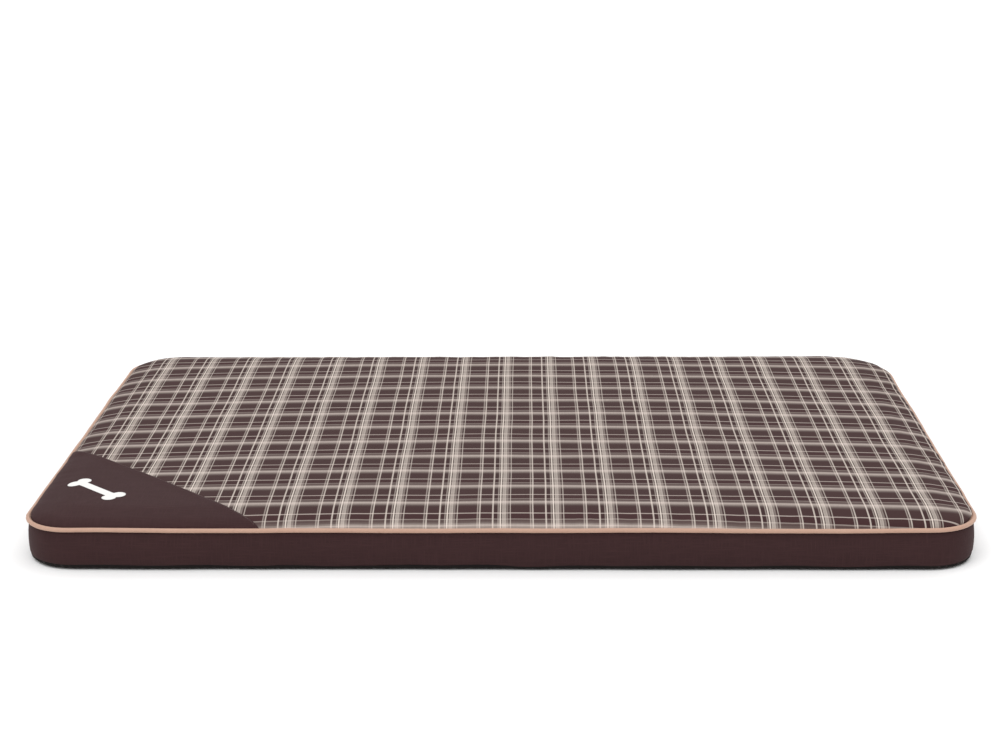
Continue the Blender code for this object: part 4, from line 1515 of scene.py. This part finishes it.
class BED_OT_stitching(bpy.types.Operator):
    """Sew the rows of thread beside the patch, the zip and the band's ends."""

    bl_idname = "bed.stitching"
    bl_label = "Stitching"

    def execute(self, context):
        sizes = context.scene.stitch_sizes
        material = thread_finish(context.scene.bed_colours.thread)
        reach = PATCH_REACH - 0.0026 * math.sqrt(2)
        seam = 0.009            # the patch's stitches stop this far from the outline
        low = Vector((reach + HALF_Y - seam, -HALF_Y + seam, 0.06))
        high = Vector((-HALF_X + seam, reach + HALF_X - seam, 0.06))
        band = surface_of(SHAPES["band"])
        strips = surface_of(SHAPES["rear_strip_top"], SHAPES["rear_strip_low"])
        zip_rows = []
        for away in (0.0073, -0.0073):
            row_ends = (0.002 - BAND_END, BAND_END - 0.002)
            zip_rows.append([Vector((x, HALF_Y, ZIP_Z + away)) for x in row_ends])
        end_rows = []
        for x in (-BAND_END - 0.0032, BAND_END + 0.0032):
            end_rows.append([Vector((x, HALF_Y, height)) for height in (0.0095, 0.0480)])
        for name, tracks, surface, ray in (
                ("patch_stitches", [(low, high)], surface_of(SHAPES["patch"]), DOWN),
                ("zip_stitches", zip_rows, strips, FORWARD),
                ("band_end_stitches", end_rows, band, FORWARD)):
            points = []
            faces = []
            for track in tracks:
                stitch_track(points, faces, track, surface, ray, sizes)
            thread = mesh_object(name, points, faces, material)
            outward_faces(thread)
            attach(thread, "mattress")
        return {"FINISHED"}


class BED_OT_care_label(bpy.types.Operator):
    """Hang the blank folded label from the seam under the piping, on the back."""

    bl_idname = "bed.care_label"
    bl_label = "Care label"

    def execute(self, context):
        low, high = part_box("care_label")
        finish = Finish("label_satin_surface", 0.42, sheen=0.1, specular=0.5)
        along, across = finish.coordinates()
        yarn = finish.threads(along, across, 700.0, 30.0)
        satin = finish.two_tone(yarn, (0.70, 0.69, 0.66), (0.86, 0.85, 0.82), 0.2, 0.0002)
        band = surface_of(SHAPES["band"])
        across_count = 14
        down_count = 16
        points = []
        cut = []
        faces = []
        length = high[2] - low[2]
        for station in range(across_count + 1):
            x = high[0] - (high[0] - low[0]) * station / across_count
            for step in range(2 * down_count + 1):
                part = step / down_count
                outer = part <= 1.0
                down = part if outer else 2.0 - part
                z = high[2] - length * down
                hit = band.ray_cast(Vector((x, HALF_Y + 0.05, min(z, BAND_TOP))), FORWARD)[0]
                curl = 0.0011 * down * down * (1.0 + 0.5 * noise.noise(Vector((x * 60.0, 0.0, 2.0))))
                gap = 0.00095 if outer else 0.00035
                near_fold = 1.0 - smooth(1.0 - down, 0.0, 0.06)
                gap += (0.00065 - gap) * near_fold
                points.append(Vector((x, hit.y + gap + curl, z)))
                cut.append((x, length * part))
        join_rows(faces, across_count + 1, 2 * down_count + 1, closed=False)
        label = mesh_object("blank_label", points, faces, satin, cut)
        thicken(label, 0.0002, 0.0)
        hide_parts("care_label")
        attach(label, "mattress")
        return {"FINISHED"}


def block(name, rings, cell, material, low=None, high=None):
    """A form swept round the plan, its bottom and top filled at the heights given."""
    around, across, deep = columns(cell)
    count = len(around)
    points = []
    faces = []
    for inset, height in rings:
        points += ring_points(around, inset, height)
    for index in range(len(rings) - 1):
        bridge(faces, (index + 1) * count, index * count, count)
    if low:
        add_middle(points, faces, 0, across, deep, low, False)
    if high:
        add_middle(points, faces, (len(rings) - 1) * count, across, deep, high, True)
    cut = [(point.x, point.y + point.z) for point in points]
    return mesh_object(name, points, faces, material, cut)


def flat_part(height):
    """The two rings of a flat part, from the plain middle outwards."""
    return [(PLAIN_INSET, height), (0.0450, height)]


def foam_finish(name, base, pore):
    """Open-celled foam."""
    finish = Finish(name, 0.95, specular=0.1)
    place = finish.place()
    cells = finish.node("ShaderNodeTexVoronoi", {}, {"Vector": place, "Scale": pore}, "Distance")
    tone = finish.noise(place, 12.0, 2.0)
    finish.set("Base Color", finish.mix(cells * 0.9 + 0.2 * tone, shade(base, 1.1), shade(base, 0.6)))
    finish.bump(cells, 0.5, 0.0008)
    return finish.material


class BED_OT_stuffing(bpy.types.Operator):
    """Make what is inside: two foams, their liner and the wadding."""

    bl_idname = "bed.stuffing"
    bl_label = "Stuffing"

    def execute(self, context):
        sizes = context.scene.bed_sizes
        cell = 0.02
        firm_low, firm_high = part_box("base_foam")
        soft_low, soft_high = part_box("comfort_foam")
        inset = HALF_X - firm_high[0]
        firm = flat_part(firm_low[2]) + [
            (0.0165, firm_low[2] + 0.0004), (0.0128, firm_low[2] + 0.0030), (0.0128, 0.0100),
            (inset + 0.0006, 0.0112), (inset, 0.0160), (inset, firm_high[2] - 0.0020),
            (inset + 0.0016, firm_high[2])] + flat_part(firm_high[2])[::-1]
        soft = flat_part(soft_low[2]) + [
            (inset + 0.0016, soft_low[2]), (inset, soft_low[2] + 0.0016), (inset, soft_high[2] - 0.0050),
            (inset + 0.0016, soft_high[2] - 0.0016), (inset + 0.0052, soft_high[2])]
        soft += flat_part(soft_high[2])[::-1]
        for name, node, slot, rings, base, pore, fill in (
                ("firm_foam_block", "base_foam", "firm_foam", firm, (0.62, 0.66, 0.72), 520.0, 1.0),
                ("soft_foam_block", "comfort_foam", "soft_foam", soft, (0.85, 0.80, 0.62), 420.0, 0.9)):
            foam = block(name, rings, cell, foam_finish(slot + "_surface", base, pore),
                         level(rings[0][1]), level(rings[-1][1]))
            outward_faces(foam)
            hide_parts(node)
            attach(foam, "mattress")

        thin = 0.0004
        low_low, low_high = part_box("liner_lower")
        up_low, up_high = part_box("liner_upper")
        edge = HALF_X - low_high[0]
        lower = flat_part(low_low[2] + thin) + [
            (0.0162, low_low[2] + thin), (0.0122, low_low[2] + 0.0028), (0.0120, 0.0098),
            (edge + 0.0004, 0.0108), (edge + 0.0001, 0.0160), (edge + 0.0001, low_high[2])]
        upper = [(edge + 0.0001, up_low[2]), (edge + 0.0001, up_high[2] - 0.0048),
                 (edge + 0.0012, up_high[2] - 0.0016), (edge + 0.0044, up_high[2] - thin / 2)]
        upper += flat_part(up_high[2] - thin / 2)[::-1]
        liner = plain_cloth_finish("liner_cloth_surface", (0.70, 0.70, 0.69), 300.0, 0.85, 0.02,
                                   (1.0, 1.0, 1.0))
        for name, node, rings, low, high, rest in (
                ("liner_bag_low", "liner_lower", lower, level(lower[0][1]), None, "base_cover"),
                ("liner_bag_top", "liner_upper", upper, None, level(upper[-1][1]), "soft_foam_block")):
            bag = block(name, rings, cell, liner, low, high)
            thicken(bag, 0.0002)
            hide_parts(node)
            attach(bag, "mattress")

        finish = Finish("wadding_surface", 1.0, sheen=0.1, specular=0.05)
        fibre = finish.noise(finish.place(), 240.0, 4.0, 0.7)
        finish.two_tone(fibre, (0.82, 0.82, 0.80), (0.95, 0.95, 0.94), 0.6, 0.001)
        floor = up_high[2] + 0.0003
        under = 0.0034          # how far the wadding lies below the top cloth
        edge_drop = 0.0036      # and how much further near the piping

        def wadding_height(ring):
            near = math.exp(-max(ring - 0.018, 0.0) / 0.020)
            return max(top_height(ring, sizes) - under - edge_drop * near, floor + 0.0016)

        rings = flat_part(floor) + [(0.0190, floor), (0.0172, floor + 0.0014)]
        for ring in (0.0180, 0.0210, 0.0260, 0.0340, 0.0450, 0.0600, 0.0800, PLAIN_INSET):
            rings.append((ring, wadding_height(ring)))
        wadding = block("wadding_sheet", rings, cell, finish.material, level(floor),
                        lambda x, y: wadding_height(nearest_edge(x, y)[0]))
        outward_faces(wadding)
        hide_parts("wadding_layer")
        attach(wadding, "mattress")
        return {"FINISHED"}


class BED_OT_piping_core(bpy.types.Operator):
    """Make the twisted cotton cord inside the piping."""

    bl_idname = "bed.piping_core"
    bl_label = "Piping cord"

    def execute(self, context):
        sizes = context.scene.bed_sizes
        finish = Finish("cord_cotton_surface", 0.9, sheen=0.1, specular=0.1)
        fibre = finish.noise(finish.place(), 700.0, 2.0)
        finish.two_tone(fibre, (0.66, 0.63, 0.55), (0.86, 0.83, 0.76), 0.4, 0.0004)
        sides = 12
        points = []
        faces = []
        around = piping_line(sizes)
        for spine, outward, travel in around:
            moved = spine + sway(spine, sizes.stray)
            for step in range(sides):
                angle = 2 * math.pi * step / sides
                strand = abs(math.cos(1.5 * (angle - travel * 180.0)))
                radius = (CORD_RADIUS - 0.0001) * (0.90 + 0.10 * strand)
                rise = Vector((0, 0, radius * math.sin(angle)))
                points.append(moved + outward * (radius * math.cos(angle)) + rise)
        for column in range(len(around)):
            bridge(faces, column * sides, ((column + 1) % len(around)) * sides, sides)
        core = mesh_object("piping_core", points, faces, finish.material)
        outward_faces(core)
        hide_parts("piping_cord")
        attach(core, "mattress")
        return {"FINISHED"}


class BED_OT_zip_stops(bpy.types.Operator):
    """Finish the crimped metal stops at the ends of the zip."""

    bl_idname = "bed.zip_stops"
    bl_label = "Zip stops"

    def execute(self, context):
        material = metal_finish("stop_metal")
        for node in ("zip_bottom_stop", "zip_top_stop_upper", "zip_top_stop_lower"):
            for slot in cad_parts[node].material_slots:
                slot.material = material
        return {"FINISHED"}


class BED_OT_stage(bpy.types.Operator):
    """Place the camera, the pale floor and the soft lights."""

    bl_idname = "bed.stage"
    bl_label = "Stage"

    def execute(self, context):
        scene = context.scene
        stage = scene.stage_sizes
        camera = bpy.data.objects.new("camera", bpy.data.cameras.new("camera"))
        camera.location = stage.camera_place
        aim = (Matrix.Rotation(stage.camera_turn, 3, "Z") @ Matrix.Rotation(stage.camera_tilt, 3, "X")
               @ Matrix.Rotation(stage.camera_roll, 3, "Z"))
        camera.rotation_euler = aim.to_euler()
        camera.data.lens = stage.lens
        camera.data.clip_end = 100.0
        scene.collection.objects.link(camera)
        scene.camera = camera
        scene.view_settings.view_transform = "Standard"

        finish = Finish("floor_surface", 0.9, specular=0.1)
        grain = finish.noise(finish.place(), 3.0, 2.0)
        finish.set("Base Color", finish.mix(grain, (0.95, 0.95, 0.95), (0.97, 0.97, 0.97)))
        size = 30.0
        corners = [Vector((x * size, y * size, -0.0004)) for x, y in ((-1, -1), (1, -1), (1, 1), (-1, 1))]
        floor = mesh_object("floor", corners, [(0, 1, 2, 3)], finish.material)

        world = bpy.data.worlds.new("studio")
        world.use_nodes = True
        background = world.node_tree.nodes["Background"].inputs
        background["Color"].default_value = (1.0, 1.0, 1.0, 1.0)
        background["Strength"].default_value = stage.sky
        scene.world = world
        for name, place, spread, power in (("key_light", (-0.5, -1.1, 2.2), 60.0, stage.key),
                                           ("fill_light", (1.2, 0.9, 2.4), 80.0, stage.key * 0.45)):
            light = bpy.data.lights.new(name, "SUN")
            light.angle = math.radians(spread)
            light.energy = power
            lamp = bpy.data.objects.new(name, light)
            lamp.location = place
            lamp.rotation_euler = Vector(place).to_track_quat("Z", "Y").to_euler()
            scene.collection.objects.link(lamp)
        return {"FINISHED"}


OPERATORS = (
    BED_OT_stage,
    BED_OT_top_cover,
    BED_OT_side_cover,
    BED_OT_base_cover,
    BED_OT_corner_cover,
    BED_OT_bone_print,
    BED_OT_piping,
    BED_OT_piping_core,
    BED_OT_rear_strips,
    BED_OT_zip_tapes,
    BED_OT_zip_coils,
    BED_OT_zip_stops,
    BED_OT_zip_slider,
    BED_OT_pull_tab,
    BED_OT_care_label,
    BED_OT_stitching,
    BED_OT_stuffing,
)


class BED_PT_panel(bpy.types.Panel):
    """Buttons for every piece of the bed."""

    bl_idname = "BED_PT_panel"
    bl_label = "Cushion Bed"
    bl_space_type = "VIEW_3D"
    bl_region_type = "UI"
    bl_category = "Cushion Bed"

    def draw(self, context):
        for operator in OPERATORS:
            self.layout.operator(operator.bl_idname)


GROUPS = (
    ("bed_sizes", BedSizes),
    ("plaid_sizes", PlaidSizes),
    ("stitch_sizes", StitchSizes),
    ("bed_colours", BedColours),
    ("stage_sizes", StageSizes),
)


def register():
    """Register the settings, the operators and the panel."""
    for name, group in GROUPS:
        bpy.utils.register_class(group)
        setattr(bpy.types.Scene, name, PointerProperty(type=group))
    for operator in OPERATORS:
        bpy.utils.register_class(operator)
    bpy.utils.register_class(BED_PT_panel)


def unregister():
    """Undo register."""
    bpy.utils.unregister_class(BED_PT_panel)
    for operator in reversed(OPERATORS):
        bpy.utils.unregister_class(operator)
    for name, group in reversed(GROUPS):
        delattr(bpy.types.Scene, name)
        bpy.utils.unregister_class(group)


def main():
    """Make the bed."""
    register()
    for operator in OPERATORS:
        getattr(bpy.ops.bed, operator.bl_idname.split(".")[1])()


if __name__ == "__main__":
    main()
